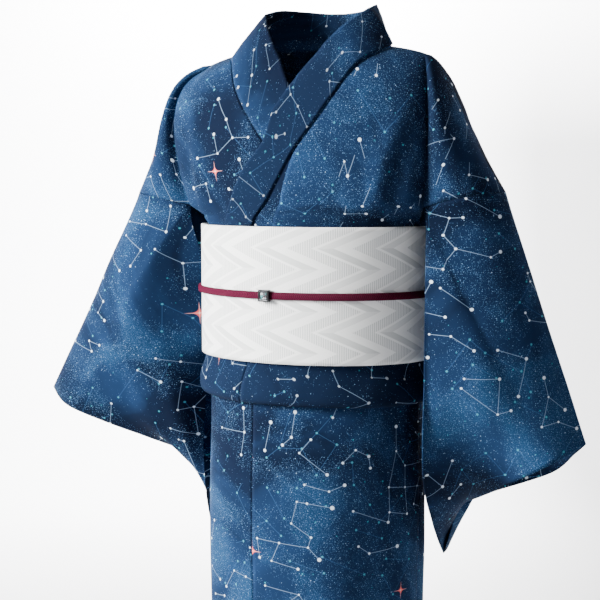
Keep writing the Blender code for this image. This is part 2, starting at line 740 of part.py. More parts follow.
def clip(materials, collection, cutters):
    """The clip: a square tray in front of the cord, its upper and lower lips hooked over the cord's edges."""
    depth = CLIP_WALL + CORD_WALL * 0.7
    frame = box(
        "obidome_frame", (CLIP_SIZE, depth, CLIP_SIZE), CLIP_WALL - depth / 2 + SEAM, materials[METAL], collection,
    )
    slot = (CLIP_SIZE * 1.5, depth, CORD_WIDTH + 0.0008)
    channel = box("clip_channel", slot, -depth / 2 + SEAM, None, cutters)
    tray = (CLIP_SIZE - 0.0030, 0.0024, CLIP_SIZE - 0.0030)
    recess = box("clip_recess", tray, CLIP_WALL + SEAM, None, cutters)
    for cutter in (channel, recess):
        cutter.hide_render = True
        cutter.display_type = "WIRE"
        cut = frame.modifiers.new(cutter.name, "BOOLEAN")
        cut.object = cutter
        cut.operation = "DIFFERENCE"
    box("obidome_face", (CLIP_SIZE - 0.0036, 0.0010, CLIP_SIZE - 0.0036), CLIP_WALL - 0.0004, materials[MOSAIC],
        collection)


def bow(materials, collection):
    """The knot and its two loops, lying against the obi at centre back."""
    back = OBI_HALF_DEPTH + OBI_WALL / 2 + CORD_GAP * 2 + CORD_WALL
    middle = OBI_TOP - OBI_HEIGHT * 0.45
    centre_y = back + 0.0235

    def knot(column, x):
        angle = math.tau * column / 16
        pinch = 1 - 0.10 * (1 - (x / KNOT_HALF) ** 2)
        return Vector((x, centre_y + 0.022 * math.cos(angle), middle + 0.052 * pinch * math.sin(angle)))

    ring("obi_knot", 16, [KNOT_HALF * k for k in (-1.0, -0.5, 0.0, 0.5, 1.0)], knot, 0.002, materials[OBI],
         collection)
    for side, name in ((1, "bow_loop_left"), (-1, "bow_loop_right")):
        def loop(column, share, side=side):
            angle = math.tau * column / 20
            out = 0.5 - 0.5 * math.cos(angle)
            x = KNOT_HALF + 0.0012 + BOW_LENGTH * out
            half = BOW_HEIGHT / 2 * (0.72 + 0.28 * min(1.0, out * 2))
            y = centre_y + 0.014 * math.sin(angle) + 0.002 * math.sin(share * 5)
            return Vector((side * x, y, middle + share * half - 0.030 * out * out))

        ring(name, 20, [-1.0, -0.5, 0.0, 0.5, 1.0], loop, 0.002, materials[OBI], collection)


def main():
    clear_scene()
    materials = make_materials()
    collection = bpy.data.collections.new("cotton_yukata")
    cutters = bpy.data.collections.new("cutters")
    bpy.context.scene.collection.children.link(collection)
    bpy.context.scene.collection.children.link(cutters)
    for side, layers in ((1, LEFT), (-1, RIGHT)):
        body_panel(side, layers, materials, collection)
        overlap_panel(side, layers, materials, collection)
    collar(materials, collection)
    for cut in SLEEVES:
        sleeve(cut, materials, collection)
    obi(materials, collection)
    clip(materials, collection, cutters)
    bow(materials, collection)


main()
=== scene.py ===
"""A cotton yukata worn with its obi: the cloth, its print, the belt with its cord and clip, and the bow.

Metres, +Z up, front towards -Y, the wearer's left towards +X. Turn is an angle round the body: 0 at centre
front, 90 at the left side. The sections follow the robe as it is put together.
"""
import bisect
import math
from collections import namedtuple

import bmesh
import bpy
import numpy as np
from mathutils import Matrix, Vector, noise


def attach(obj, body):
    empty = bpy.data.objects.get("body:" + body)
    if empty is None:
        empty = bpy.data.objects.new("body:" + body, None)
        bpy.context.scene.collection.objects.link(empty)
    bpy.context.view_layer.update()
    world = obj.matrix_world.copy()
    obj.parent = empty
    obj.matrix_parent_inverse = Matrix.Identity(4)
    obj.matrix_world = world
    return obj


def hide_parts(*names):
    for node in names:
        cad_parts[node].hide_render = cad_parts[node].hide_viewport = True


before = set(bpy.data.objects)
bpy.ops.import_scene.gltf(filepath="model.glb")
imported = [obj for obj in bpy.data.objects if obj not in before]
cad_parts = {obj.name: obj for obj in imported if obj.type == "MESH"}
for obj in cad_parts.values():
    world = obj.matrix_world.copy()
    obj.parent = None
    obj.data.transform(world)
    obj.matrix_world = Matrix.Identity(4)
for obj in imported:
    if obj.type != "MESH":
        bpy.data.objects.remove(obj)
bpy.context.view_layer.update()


# The camera stands at chest height in front of the robe and to its left, with a long lens, looking
# slightly down. It takes in the robe from the collar to the middle of the skirt.
camera_data = bpy.data.cameras.new("camera")
camera_data.sensor_width = 36.0
camera_data.lens = 75.5
camera = bpy.data.objects.new("camera", camera_data)
camera.location = (0.7086, -1.5142, -0.1808)
camera.rotation_euler = (math.radians(90.0 - 5.26), 0.0, math.radians(25.81))
bpy.context.scene.collection.objects.link(camera)
bpy.context.scene.camera = camera


# The studio: a round pale backdrop whose floor curves up into its wall. A large soft light stands at the
# robe's right front, a very weak one at its left, one overhead, and one behind the robe lights the wall.
FLOOR_Z = -1.290
ROOM_RADIUS = 4.2
ROOM_HEIGHT = 4.0
ROOM_FILLET = 1.4

studio_mesh = bmesh.new()
profile = [Vector((0.0, 0.0, FLOOR_Z)), Vector((ROOM_RADIUS - ROOM_FILLET, 0.0, FLOOR_Z))]
for step in range(1, 13):
    bend = math.radians(90.0 * step / 12)
    profile.append(Vector((
        ROOM_RADIUS - ROOM_FILLET + ROOM_FILLET * math.sin(bend), 0.0,
        FLOOR_Z + ROOM_FILLET * (1 - math.cos(bend)),
    )))
profile.append(Vector((ROOM_RADIUS, 0.0, FLOOR_Z + ROOM_HEIGHT)))
path = [studio_mesh.verts.new(place) for place in profile]
edges = [studio_mesh.edges.new(pair) for pair in zip(path, path[1:])]
bmesh.ops.spin(
    studio_mesh, geom=path + edges, axis=(0.0, 0.0, 1.0), cent=(0.0, 0.0, 0.0), angle=math.tau, steps=96,
    use_merge=True,
)
bmesh.ops.remove_doubles(studio_mesh, verts=studio_mesh.verts, dist=0.0001)
bmesh.ops.recalc_face_normals(studio_mesh, faces=studio_mesh.faces)


def make_object(name, mesh, materials, smooth=True):
    """A finished mesh as an object of its own, with its materials."""
    data = bpy.data.meshes.new(name)
    mesh.to_mesh(data)
    mesh.free()
    if smooth:
        data.shade_smooth()
    for material in materials:
        data.materials.append(material)
    made = bpy.data.objects.new(name, data)
    bpy.context.scene.collection.objects.link(made)
    return made


class Shade:
    """One output of a material's node. Sums on it add the nodes that work them out."""

    def __init__(self, tree, socket=None):
        self.tree = tree
        self.socket = socket

    def node(self, kind, inputs=(), output=0, **settings):
        made = self.tree.nodes.new(kind)
        for name, value in settings.items():
            if name == "stops":
                ramp = made.color_ramp
                while len(ramp.elements) < len(value):
                    ramp.elements.new(0.5)
                for element, (place, colour) in zip(ramp.elements, value):
                    element.position = place
                    element.color = (*colour, 1.0)
            else:
                setattr(made, name, value)
        pairs = inputs.items() if isinstance(inputs, dict) else enumerate(inputs)
        for key, value in pairs:
            if isinstance(value, Shade):
                self.tree.links.new(value.socket, made.inputs[key])
            elif value is not None:
                made.inputs[key].default_value = value
        return Shade(self.tree, made.outputs[output])

    def also(self, name):
        """Another output of the node that this one comes from."""
        return Shade(self.tree, self.socket.node.outputs[name])

    def math(self, operation, *values, clamp=False):
        return self.node("ShaderNodeMath", values, operation=operation, use_clamp=clamp)

    def vector(self, operation, *values, output=0):
        return self.node("ShaderNodeVectorMath", values, output=output, operation=operation)

    def __add__(self, other):
        return self.math("ADD", self, other)

    def __radd__(self, other):
        return self.math("ADD", other, self)

    def __sub__(self, other):
        return self.math("SUBTRACT", self, other)

    def __rsub__(self, other):
        return self.math("SUBTRACT", other, self)

    def __mul__(self, other):
        return self.math("MULTIPLY", self, other)

    def __rmul__(self, other):
        return self.math("MULTIPLY", other, self)

    def __truediv__(self, other):
        return self.math("DIVIDE", self, other)

    def __rtruediv__(self, other):
        return self.math("DIVIDE", other, self)

    def __lt__(self, other):
        return self.math("LESS_THAN", self, other)

    def __gt__(self, other):
        return self.math("GREATER_THAN", self, other)

    def within(self, edge, soft):
        """1 where the value is under the edge, falling to 0 over a soft width."""
        return 1.0 - self.math("DIVIDE", self - (edge - soft / 2), soft, clamp=True)

    def span(self, low, high):
        """The value's share of the way from low to high, kept from 0 to 1."""
        return self.math("DIVIDE", self - low, high - low, clamp=True)

    def tint(self, under, over):
        """Mixes two colours by this value."""
        return self.node("ShaderNodeMix", {0: self, 6: under, 7: over}, output=2, data_type="RGBA")

    def sine(self):
        return self.math("SINE", self)

    def fraction(self):
        return self.math("FRACT", self)

    def feed(self, shader, socket):
        self.tree.links.new(self.socket, shader.inputs[socket])

    def emboss(self, shader, strength, distance):
        """Raises the surface by this value."""
        relief = {"Strength": strength, "Distance": distance, "Height": self}
        self.node("ShaderNodeBump", relief).feed(shader, "Normal")

    def noise(self, place, scale, detail, roughness=0.5, distortion=0.0, **settings):
        inputs = {"Vector": place, "Scale": scale, "Detail": detail}
        inputs.update({"Roughness": roughness, "Distortion": distortion})
        return self.node("ShaderNodeTexNoise", inputs, **settings)

    def squares(self, place, size):
        """The number of the square that a place lies in, and where in that square it lies."""
        scaled = self.vector("SCALE", place, None, None, 1.0 / size)
        cell = self.vector("FLOOR", scaled)
        return cell, self.vector("SUBTRACT", scaled, cell)

    def split(self):
        first = self.node("ShaderNodeSeparateXYZ", (self,))
        return [first, first.also("Y"), first.also("Z")]

    def pair(self, x, y):
        return self.node("ShaderNodeCombineXYZ", (x, y, 0.0))


def new_material(name, roughness, **constants):
    """A Principled material with its unvarying values, and the shade that starts its nodes."""
    material = bpy.data.materials.new(name)
    material.use_nodes = True
    shader = material.node_tree.nodes["Principled BSDF"]
    shader.inputs["Roughness"].default_value = roughness
    for key, value in constants.items():
        shader.inputs[key.replace("_", " ")].default_value = value
    return material, shader, Shade(material.node_tree)


def colour(red, green, blue):
    """A colour given in the usual 0 to 255 steps."""
    def linear(step):
        share = step / 255
        return share / 12.92 if share <= 0.04045 else ((share + 0.055) / 1.055) ** 2.4
    return (linear(red), linear(green), linear(blue), 1.0)


# The paint is palest behind the robe. Low down behind its left side, the robe's soft shadow on the wall is
# painted in as a darker grey.
studio_paint, studio_shader, start = new_material("studio_paint", 0.9)
place = start.node("ShaderNodeTexCoord", output="Object")
behind = start.vector("DOT_PRODUCT", place, (-0.43, 0.90, 0.0), output="Value")
wash = behind.span(-1.6, 2.4).tint((0.24, 0.24, 0.25, 1.0), (0.94, 0.94, 0.95, 1.0))
beside = start.vector("DOT_PRODUCT", place, (0.90, 0.435, 0.0), output="Value")
_, _, height = place.split()
# Painted shadow: a darker grey low on the wall beside the robe, standing in for the shadow it casts there.
painted_shadow = beside.span(0.25, 1.05) * (1.0 - height.span(0.0, 0.80)) * behind.span(0.2, 1.6)
wash = (painted_shadow * 0.80).tint(wash, (0.22, 0.22, 0.225, 1.0))
wash.feed(studio_shader, "Base Color")
studio = make_object("studio", studio_mesh, [studio_paint])

Light = namedtuple("Light", "name place aim size power colour")
LIGHTS = [
    Light("key", (-2.30, -1.92, 0.7), (0.0, 0.0, -0.35), 1.5, 540.0, (1.0, 0.995, 0.98)),
    Light("fill", (2.4, -2.2, 0.3), (0.0, 0.0, -0.4), 2.0, 1.0, (0.94, 0.97, 1.0)),
    Light("top", (-0.6, 0.0, 2.3), (0.0, 0.0, -0.3), 1.6, 20.0, (1.0, 1.0, 1.0)),
    Light("wall", (-1.2, 2.3, 1.3), (-1.9, 3.7, -0.5), 1.2, 640.0, (1.0, 1.0, 1.0)),
]
for light in LIGHTS:
    lamp_data = bpy.data.lights.new(light.name, "AREA")
    lamp_data.shape = "DISK"
    lamp_data.size = light.size
    lamp_data.energy = light.power
    lamp_data.color = light.colour
    lamp = bpy.data.objects.new(light.name, lamp_data)
    lamp.location = light.place
    aim = Vector(light.aim) - Vector(light.place)
    lamp.rotation_euler = aim.to_track_quat("-Z", "Y").to_euler()
    bpy.context.scene.collection.objects.link(lamp)
world = bpy.data.worlds.new("studio_air")
world.use_nodes = True
world.node_tree.nodes["Background"].inputs["Color"].default_value = (0.92, 0.94, 1.0, 1.0)
world.node_tree.nodes["Background"].inputs["Strength"].default_value = 0.04
bpy.context.scene.world = world


# Body panels: two lengths of printed cotton, each going from the front hem over the shoulder to the back
# hem. At the waist the spare length is folded up into a tuck that hangs over the skirt.
WALL = 0.0008
WELD = 0.00004
LAYER = 0.0020
SEAM = 0.0003
SIDE_SEAM = 89.9
HEM = -1.250
TUCK = -0.458
CORD_LINE = -0.345
NEST = 0.010
SEAM_DROP = 0.205
WAIST_TOP = -0.222
Layers = namedtuple("Layers", "upper folded skirt rise")
LEFT = Layers(upper=0.0, folded=-6.0, skirt=-7.2, rise=0.0)
RIGHT = Layers(upper=-3.0, folded=-4.5, skirt=-9.2, rise=NEST)

Waist = namedtuple("Waist", "z half_width half_depth")
WAIST = [
    Waist(-0.225, 0.1620, 0.1220),
    Waist(-0.236, 0.1540, 0.1182),
    Waist(-0.300, 0.1535, 0.1180),
    Waist(-0.408, 0.1542, 0.1188),
    Waist(-0.438, 0.1630, 0.1240),
    Waist(-0.470, 0.1620, 0.1260),
    Waist(-0.600, 0.1645, 0.1285),
    Waist(-0.800, 0.1620, 0.1255),
    Waist(-1.000, 0.1585, 0.1220),
    Waist(HEM, 0.1560, 0.1190),
]
Chest = namedtuple("Chest", "drop full arm_full fold_left fold_right outer_left outer_right")
CHEST = [
    Chest(0.000, 0.00, 0.00, 0.148, 0.158, 0.160, 0.172),
    Chest(0.008, 0.22, 0.25, 0.156, 0.174, 0.167, 0.186),
    Chest(0.020, 0.42, 0.45, 0.161, 0.184, 0.174, 0.198),
    Chest(0.035, 0.58, 0.62, 0.165, 0.191, 0.182, 0.207),
    Chest(0.055, 0.71, 0.76, 0.168, 0.195, 0.190, 0.214),
    Chest(0.078, 0.80, 0.86, 0.170, 0.196, 0.199, 0.220),
    Chest(0.100, 0.855, 0.92, 0.171, 0.194, 0.206, 0.226),
    Chest(0.125, 0.905, 0.96, 0.171, 0.190, 0.217, 0.232),
    Chest(0.150, 0.945, 0.98, 0.171, 0.184, 0.228, 0.240),
    Chest(0.178, 0.975, 1.00, 0.170, 0.176, 0.242, 0.253),
    Chest(SEAM_DROP, 1.000, 1.00, 0.168, 0.166, 0.256, 0.2665),
]
CHEST_DEPTH = 0.112
BACK_DEPTH = 0.104
NAPE_DEPTH = 0.078
NECK_HALF = 0.108
ARM_DEPTH = 0.058
FOLD_SHARE = 0.82
SHOULDER_FALL = 0.020
Edge = namedtuple("Edge", "z collar_seam overlap_seam collar_free")
EDGES = [
    Edge(0.000, 46.0, 46.0, 30.0),
    Edge(-0.027, 32.0, 32.0, 20.0),
    Edge(-0.074, 21.4, 21.4, 8.0),
    Edge(-0.109, 13.6, 13.6, -1.0),
    Edge(-0.146, 5.0, 5.4, -12.5),
    Edge(-0.180, -1.0, 2.0, -20.5),
    Edge(-0.221, -9.0, -0.5, -28.0),
    Edge(-0.310, -38.0, -8.0, -60.0),
    Edge(-0.405, -68.0, -16.0, -92.0),
    Edge(TUCK, -72.0, -19.0, -96.0),
]
Slit = namedtuple("Slit", "z side")
SLIT = [Slit(-0.205, 76.0), Slit(-0.236, 78.0), Slit(-0.300, 84.0), Slit(-0.355, SIDE_SEAM)]
SKIRT_TURNS = {"overlap_seam": -15.0, "collar_seam": -84.0}


def lerp(a, b, t):
    return a + (b - a) * t


def ease(t):
    t = min(max(t, 0.0), 1.0)
    return t * t * (3 - 2 * t)


def smooth_table(rows):
    """One smooth curve for each column of a table, read by its first column."""
    curves = {}
    order = sorted(rows, key=lambda row: row[0])
    keys = [row[0] for row in order]
    for number, field in enumerate(rows[0]._fields):
        values = [row[number] for row in order]
        slopes = []
        for n in range(len(keys)):
            low, high = max(n - 1, 0), min(n + 1, len(keys) - 1)
            before = (values[n] - values[low]) / max(keys[n] - keys[low], 1e-9)
            after = (values[high] - values[n]) / max(keys[high] - keys[n], 1e-9)
            if n in (0, len(keys) - 1):
                slopes.append(before + after)
            else:
                slopes.append(2 * before * after / (before + after) if before * after > 0 else 0.0)
        curves[field] = (keys, values, slopes)
    return curves


def read(table, field, at):
    keys, values, slopes = table[field]
    at = min(max(at, keys[0]), keys[-1])
    i = min(max(bisect.bisect_right(keys, at) - 1, 0), len(keys) - 2)
    step = keys[i + 1] - keys[i]
    t = (at - keys[i]) / step
    square, cube = t * t, t * t * t
    return (
        values[i] * (2 * cube - 3 * square + 1) + values[i + 1] * (3 * square - 2 * cube)
        + step * (slopes[i] * (cube - 2 * square + t) + slopes[i + 1] * (cube - square))
    )


waist_table = smooth_table(WAIST)
chest_table = smooth_table(CHEST)
edge_table = smooth_table(EDGES)
slit_table = smooth_table(SLIT)


def curve_at(points, share):
    """A point on the smooth curve through the points, share of the way along."""
    last = len(points) - 1
    at = min(max(share, 0.0), 1.0) * last
    i = min(int(at), last - 1)
    t = at - i
    before, a, b, after = points[max(i - 1, 0)], points[i], points[i + 1], points[min(i + 2, last)]
    return (
        a * (1 - 3 * t * t + 2 * t ** 3) + b * (3 * t * t - 2 * t ** 3)
        + (b - before) * 0.5 * (t ** 3 - 2 * t * t + t) + (after - a) * 0.5 * (t ** 3 - t * t)
    )


def shoulder_line(x):
    return -SHOULDER_FALL * (min(abs(x), 0.170) / 0.160) ** 3


def waist_point(turn, z, lift):
    angle = math.radians(turn)
    width = read(waist_table, "half_width", z) + lift
    depth = read(waist_table, "half_depth", z) + lift
    return Vector((width * math.sin(angle), -depth * math.cos(angle), z))


def chest_point(turn, drop, lift, back=False):
    """A point of the chest or back between the two armpit folds."""
    turn = min(max(turn, -90.0), 90.0)
    angle = math.radians(turn)
    width = read(chest_table, "fold_left" if turn >= 0 else "fold_right", drop)
    full = read(chest_table, "full", drop)
    fold_depth = ARM_DEPTH * FOLD_SHARE * read(chest_table, "arm_full", drop)
    depth = BACK_DEPTH if back else CHEST_DEPTH
    rise = (1 - abs(math.sin(angle)) ** 2.4) ** 0.5
    x = width * math.sin(angle)
    y = fold_depth + (depth * full - fold_depth) * rise
    if back:
        y += NAPE_DEPTH * max(0.0, 1 - (x / NECK_HALF) ** 2) * (1 - full)
    out = lift * (0.25 + 0.75 * full)
    y += out
    z = shoulder_line(x) * (1 - drop / 0.25) - drop
    return Vector((x + out * math.sin(angle) * 0.5, y if back else -y, z))


def arm_point(across, drop, side, lift, back=False):
    """A point over the upper arm: across runs from the armpit fold, 0, to the top of the arm, 1."""
    inner = read(chest_table, "fold_left" if side > 0 else "fold_right", drop)
    outer = read(chest_table, "outer_left" if side > 0 else "outer_right", drop)
    start = math.pi - math.asin(FOLD_SHARE)
    angle = start * (1 - across)
    radius = (outer - inner) / (1 - math.cos(start))
    x = outer - radius + radius * math.cos(angle)
    y = ARM_DEPTH * read(chest_table, "arm_full", drop) * math.sin(angle)
    fold_z = shoulder_line(inner) * (1 - drop / 0.25) - drop
    z = lerp(fold_z, -SHOULDER_FALL - drop * 0.83, math.sin(across * math.pi / 2))
    y += lift * (1 - across) * min(1.0, drop / 0.035)
    return Vector((side * x, y if back else -y, z))


CHEST_DROPS = [row.drop for row in CHEST]
CHEST_LAST = len(CHEST_DROPS) - 1
SKIRT_HEIGHTS = (-0.432, -0.480, -0.560, -0.680, -0.820, -0.960, -1.110, HEM)


def waist_rows(layers, inner, outer):
    """Height, lift and edge turns of one panel, from the chest down round the tuck to the hem."""
    low = TUCK + layers.rise
    path = [(z, layers.upper) for z in (WAIST_TOP, -0.236, -0.300, -0.355, -0.405, -0.432, low + 0.007)]
    path.append((low, lerp(layers.upper, layers.folded, 0.5)))
    path += [(z, layers.folded) for z in (low + 0.007, -0.432, -0.405, -0.355)]
    path.append((CORD_LINE + layers.rise, lerp(layers.folded, layers.skirt, 0.5)))
    path += [(z, layers.skirt) for z in (-0.355, -0.405) + SKIRT_HEIGHTS]
    rows = []
    reached = skirt = False
    for z, layer in path:
        reached = reached or layer == layers.folded
        skirt = skirt or layer == layers.skirt
        share = (z - TUCK) / (CORD_LINE - TUCK) if reached and not skirt else 0.0
        turns = []
        for field in (inner, outer):
            if field == "side":
                turns.append(read(slit_table, "side", z))
                continue
            above = read(edge_table, field, TUCK if reached else max(z, TUCK))
            below = SKIRT_TURNS[field]
            turns.append(below if skirt else lerp(above, below, min(max(share, 0.0), 1.0)))
        rows.append(Vector((z, layer * LAYER, turns[0], turns[1])))
    return rows


def chest_drop(row):
    """How far a row of the chest lies below the top of the shoulder."""
    on_chest = min(row, CHEST_LAST)
    i = min(int(on_chest), CHEST_LAST - 1)
    return lerp(CHEST_DROPS[i], CHEST_DROPS[i + 1], on_chest - i)


def front_point(layers, rows, inner, outer, row, share, side):
    """A point of a front piece at a row, share of the way from its inner to its outer edge."""
    drop = chest_drop(row)
    if row < CHEST_LAST + 1:
        turns = [90.0 if field == "side" else read(edge_table, field, -drop) for field in (inner, outer)]
        above = chest_point(lerp(turns[0], turns[1], share) * side, drop, layers.upper * LAYER)
        if row <= CHEST_LAST:
            return above
    z, lift, start, end = curve_at(rows, max(row - CHEST_LAST - 1, 0.0) / (len(rows) - 1))
    below = waist_point(lerp(start, end, share) * side, z, lift)
    if row < CHEST_LAST + 1:
        return above.lerp(below, row - CHEST_LAST)
    return below


def fine(coarse, parts):
    """Splits the whole steps 0 to coarse into parts each: one number for all, or one for each step."""
    counts = [parts] * coarse if isinstance(parts, int) else parts
    return [n + k / count for n, count in enumerate(counts) for k in range(count)] + [float(coarse)]


def grid(columns, rows, place, keep=None):
    """A sheet of cloth: place gives the point of each column and row, and keep, if given, which faces stay.
    """
    mesh = bmesh.new()
    across, down = len(columns) - 1, len(rows) - 1
    bmesh.ops.create_grid(mesh, x_segments=across, y_segments=down, size=0.5)
    index = {v: (round((v.co.x + 0.5) * across), round((v.co.y + 0.5) * down)) for v in mesh.verts}
    if keep:
        def kept(face):
            corners = [index[vert] for vert in face.verts]
            column = sum(columns[corner[0]] for corner in corners) / 4
            return keep(column, sum(rows[corner[1]] for corner in corners) / 4)

        outside = [face for face in mesh.faces if not kept(face)]
        bmesh.ops.delete(mesh, geom=outside, context="FACES")
    for vertex in mesh.verts:
        column, row = index[vertex]
        vertex.co = place(columns[column], rows[row])
    return mesh, {v: index[v] for v in mesh.verts}


def lay_flat(mesh, index, centre, shift, turned=1.0):
    """Gives the sheet a UV map in metres: along each row from the column centre, and down that column."""
    columns = max(column for column, row in index.values()) + 1
    rows = max(row for column, row in index.values()) + 1
    places = np.full((columns, rows, 3), np.nan)
    for vertex, (column, row) in index.items():
        places[column, row] = vertex.co
    steps = np.nan_to_num(np.linalg.norm(np.diff(places, axis=0), axis=2))
    along = np.concatenate([np.zeros((1, rows)), np.cumsum(steps, axis=0)])
    along -= along[centre][None, :]
    falls = np.nan_to_num(np.linalg.norm(np.diff(places[centre], axis=0), axis=1))
    down = np.concatenate([[0.0], np.cumsum(falls)])
    layer = mesh.loops.layers.uv.new("cloth")
    for face in mesh.faces:
        for loop in face.loops:
            column, row = index[loop.vert]
            loop[layer].uv = (shift[0] + along[column, row], shift[1] - turned * down[row])


def join(target, other):
    spare = bpy.data.meshes.new("spare")
    other.to_mesh(spare)
    other.free()
    target.from_mesh(spare)
    bpy.data.meshes.remove(spare)


def face_outward(mesh, centre):
    bmesh.ops.recalc_face_normals(mesh, faces=mesh.faces)
    facing = sum(f.normal.dot(f.calc_center_median() - centre) * f.calc_area() for f in mesh.faces)
    if facing < 0:
        bmesh.ops.reverse_faces(mesh, faces=mesh.faces)


# Creases, seen from one side of the robe: the way the crease faces, its points, half width and
# depth. A ridge is positive and a trough negative.
Crease = namedtuple("Crease", "facing points width depth")
FACINGS = {
    "front": (Vector((0, -1, 0)), 0), "back": (Vector((0, 1, 0)), 0),
    "left": (Vector((1, 0, 0)), 1), "right": (Vector((-1, 0, 0)), 1),
}
RIPPLE, RIPPLE_SIZE = 0.0006, 0.07


def press_creases(mesh, creases):
    """Moves the cloth along its normals into its creases and a slight unevenness."""
    mesh.normal_update()
    verts = list(mesh.verts)
    places = np.array([v.co for v in verts])
    normals = np.array([v.normal for v in verts])
    move = np.zeros(len(verts))
    for crease in creases:
        facing, axis = FACINGS[crease.facing]
        seen = np.clip(normals @ np.array(facing) * 1.6, 0.0, 1.0)
        flat = places[:, [axis, 2]]
        points = np.array(crease.points)
        lengths = np.linalg.norm(np.diff(points, axis=0), axis=1)
        starts = np.concatenate([[0.0], np.cumsum(lengths)])
        best = np.full(len(verts), 9.0)
        at = np.zeros(len(verts))
        for n, length in enumerate(lengths):
            way = points[n + 1] - points[n]
            t = np.clip(((flat - points[n]) @ way) / length ** 2, 0.0, 1.0)
            away = np.linalg.norm(flat - points[n] - t[:, None] * way, axis=1)
            nearer = away < best
            best = np.where(nearer, away, best)
            at = np.where(nearer, (starts[n] + t * length) / starts[-1], at)
        taper = np.clip(np.sin(np.pi * np.clip(at, 0.02, 0.98)) * 1.5, 0.0, 1.0)
        move += seen * crease.depth * taper * np.exp(-(best / crease.width) ** 2)
    for n, vertex in enumerate(verts):
        uneven = noise.noise(vertex.co / RIPPLE_SIZE) * RIPPLE
        vertex.co += Vector(normals[n]) * (move[n] + uneven)


def finish_cloth(name, mesh, material, wall=WALL, centre=None):
    """Makes the sheet a thin shell of cloth and gives it to the frame's one body."""
    bmesh.ops.remove_doubles(mesh, verts=mesh.verts, dist=WELD)
    if centre is not None:
        face_outward(mesh, centre)
    piece = make_object(name, mesh, [material])
    shell = piece.modifiers.new("wall", "SOLIDIFY")
    shell.thickness = wall
    shell.offset = 0.0
    shell.use_even_offset = False
    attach(piece, "root")
    return piece


STAR_SCATTER = 0.80


def star_net(start, place, size, keep, salt, gather):
    """Stars scattered one to a square of the given size, some of them joined to their neighbours.

    Gives the distance to the nearest join and to the square's own star, whether that star is joined, and
    its chance. The joins gather in groups.
    """
    cell, inside = start.squares(place, size)
    stars = {}
    for step in ((0, 0), (1, 0), (-1, 0), (0, 1), (0, -1)):
        at = start.vector("ADD", cell, (step[0] + salt, step[1] + salt * 0.37, 0.0))
        random = start.node("ShaderNodeTexWhiteNoise", {"Vector": at}, output="Color", noise_dimensions="2D")
        corner = (step[0] + (1 - STAR_SCATTER) / 2, step[1] + (1 - STAR_SCATTER) / 2, 0.0)
        spread = start.vector("MULTIPLY_ADD", random, (STAR_SCATTER, STAR_SCATTER, 0.0), corner)
        red, green, blue = random.split()
        odds = (red * 7.31).fraction()
        crowd = start.noise(at, gather, 0.0, noise_dimensions="2D").span(0.44, 0.56)
        odds, blue = odds + (1.0 - crowd) * 0.6, blue + (1.0 - crowd) * 0.6
        stars[step] = (start.vector("SUBTRACT", spread, inside), odds, blue)
    joins = joined = None
    for first, second, chance in (
        ((0, 0), (1, 0), 1), ((-1, 0), (0, 0), 1), ((0, 0), (0, 1), 2), ((0, -1), (0, 0), 2),
    ):
        a, b = stars[first][0], stars[second][0]
        way = start.vector("SUBTRACT", b, a)
        reach = start.vector("DOT_PRODUCT", a, way, output="Value")
        square = start.vector("DOT_PRODUCT", way, way, output="Value")
        share = start.math("DIVIDE", 0.0 - reach, square, clamp=True)
        near = start.vector("ADD", a, start.vector("SCALE", way, None, None, share))
        apart = stars[first][chance] > keep
        away = start.vector("LENGTH", near, output="Value") + apart * 9.0
        joins = away if joins is None else joins.math("MINIMUM", joins, away)
        joined = 1.0 - apart if joined is None else joined.math("MAXIMUM", joined, 1.0 - apart)
    own = start.vector("LENGTH", stars[(0, 0)][0], output="Value")
    return joins * size, own * size, joined, stars[(0, 0)][1]


NIGHT_DARK = colour(9, 19, 38)
NIGHT_NAVY = colour(13, 27, 49)
NIGHT_BLUE = colour(22, 44, 75)
NIGHT_TEAL = colour(24, 56, 88)
# Star dust from finest to coarsest: grains to a metre, their radius as a share of their spacing, and the
# share of them printed where the haze is thin and where it is thick.
Grain = namedtuple("Grain", "per_metre radius fewest most tone")
STAR_DUST = [
    Grain(640.0, 0.36, 0.04, 1.00, colour(74, 112, 152)),
    Grain(400.0, 0.28, 0.02, 0.62, colour(106, 142, 180)),
    Grain(160.0, 0.13, 0.02, 0.28, colour(146, 176, 206)),
    Grain(58.0, 0.10, 0.07, 0.32, colour(58, 142, 162)),
]
FAINT_FIGURES, BRIGHT_FIGURES = 0.036, 0.029
CALM_FADE = 0.030
SPARK_SPACING = 0.170
YARNS_PER_METRE = 1500.0


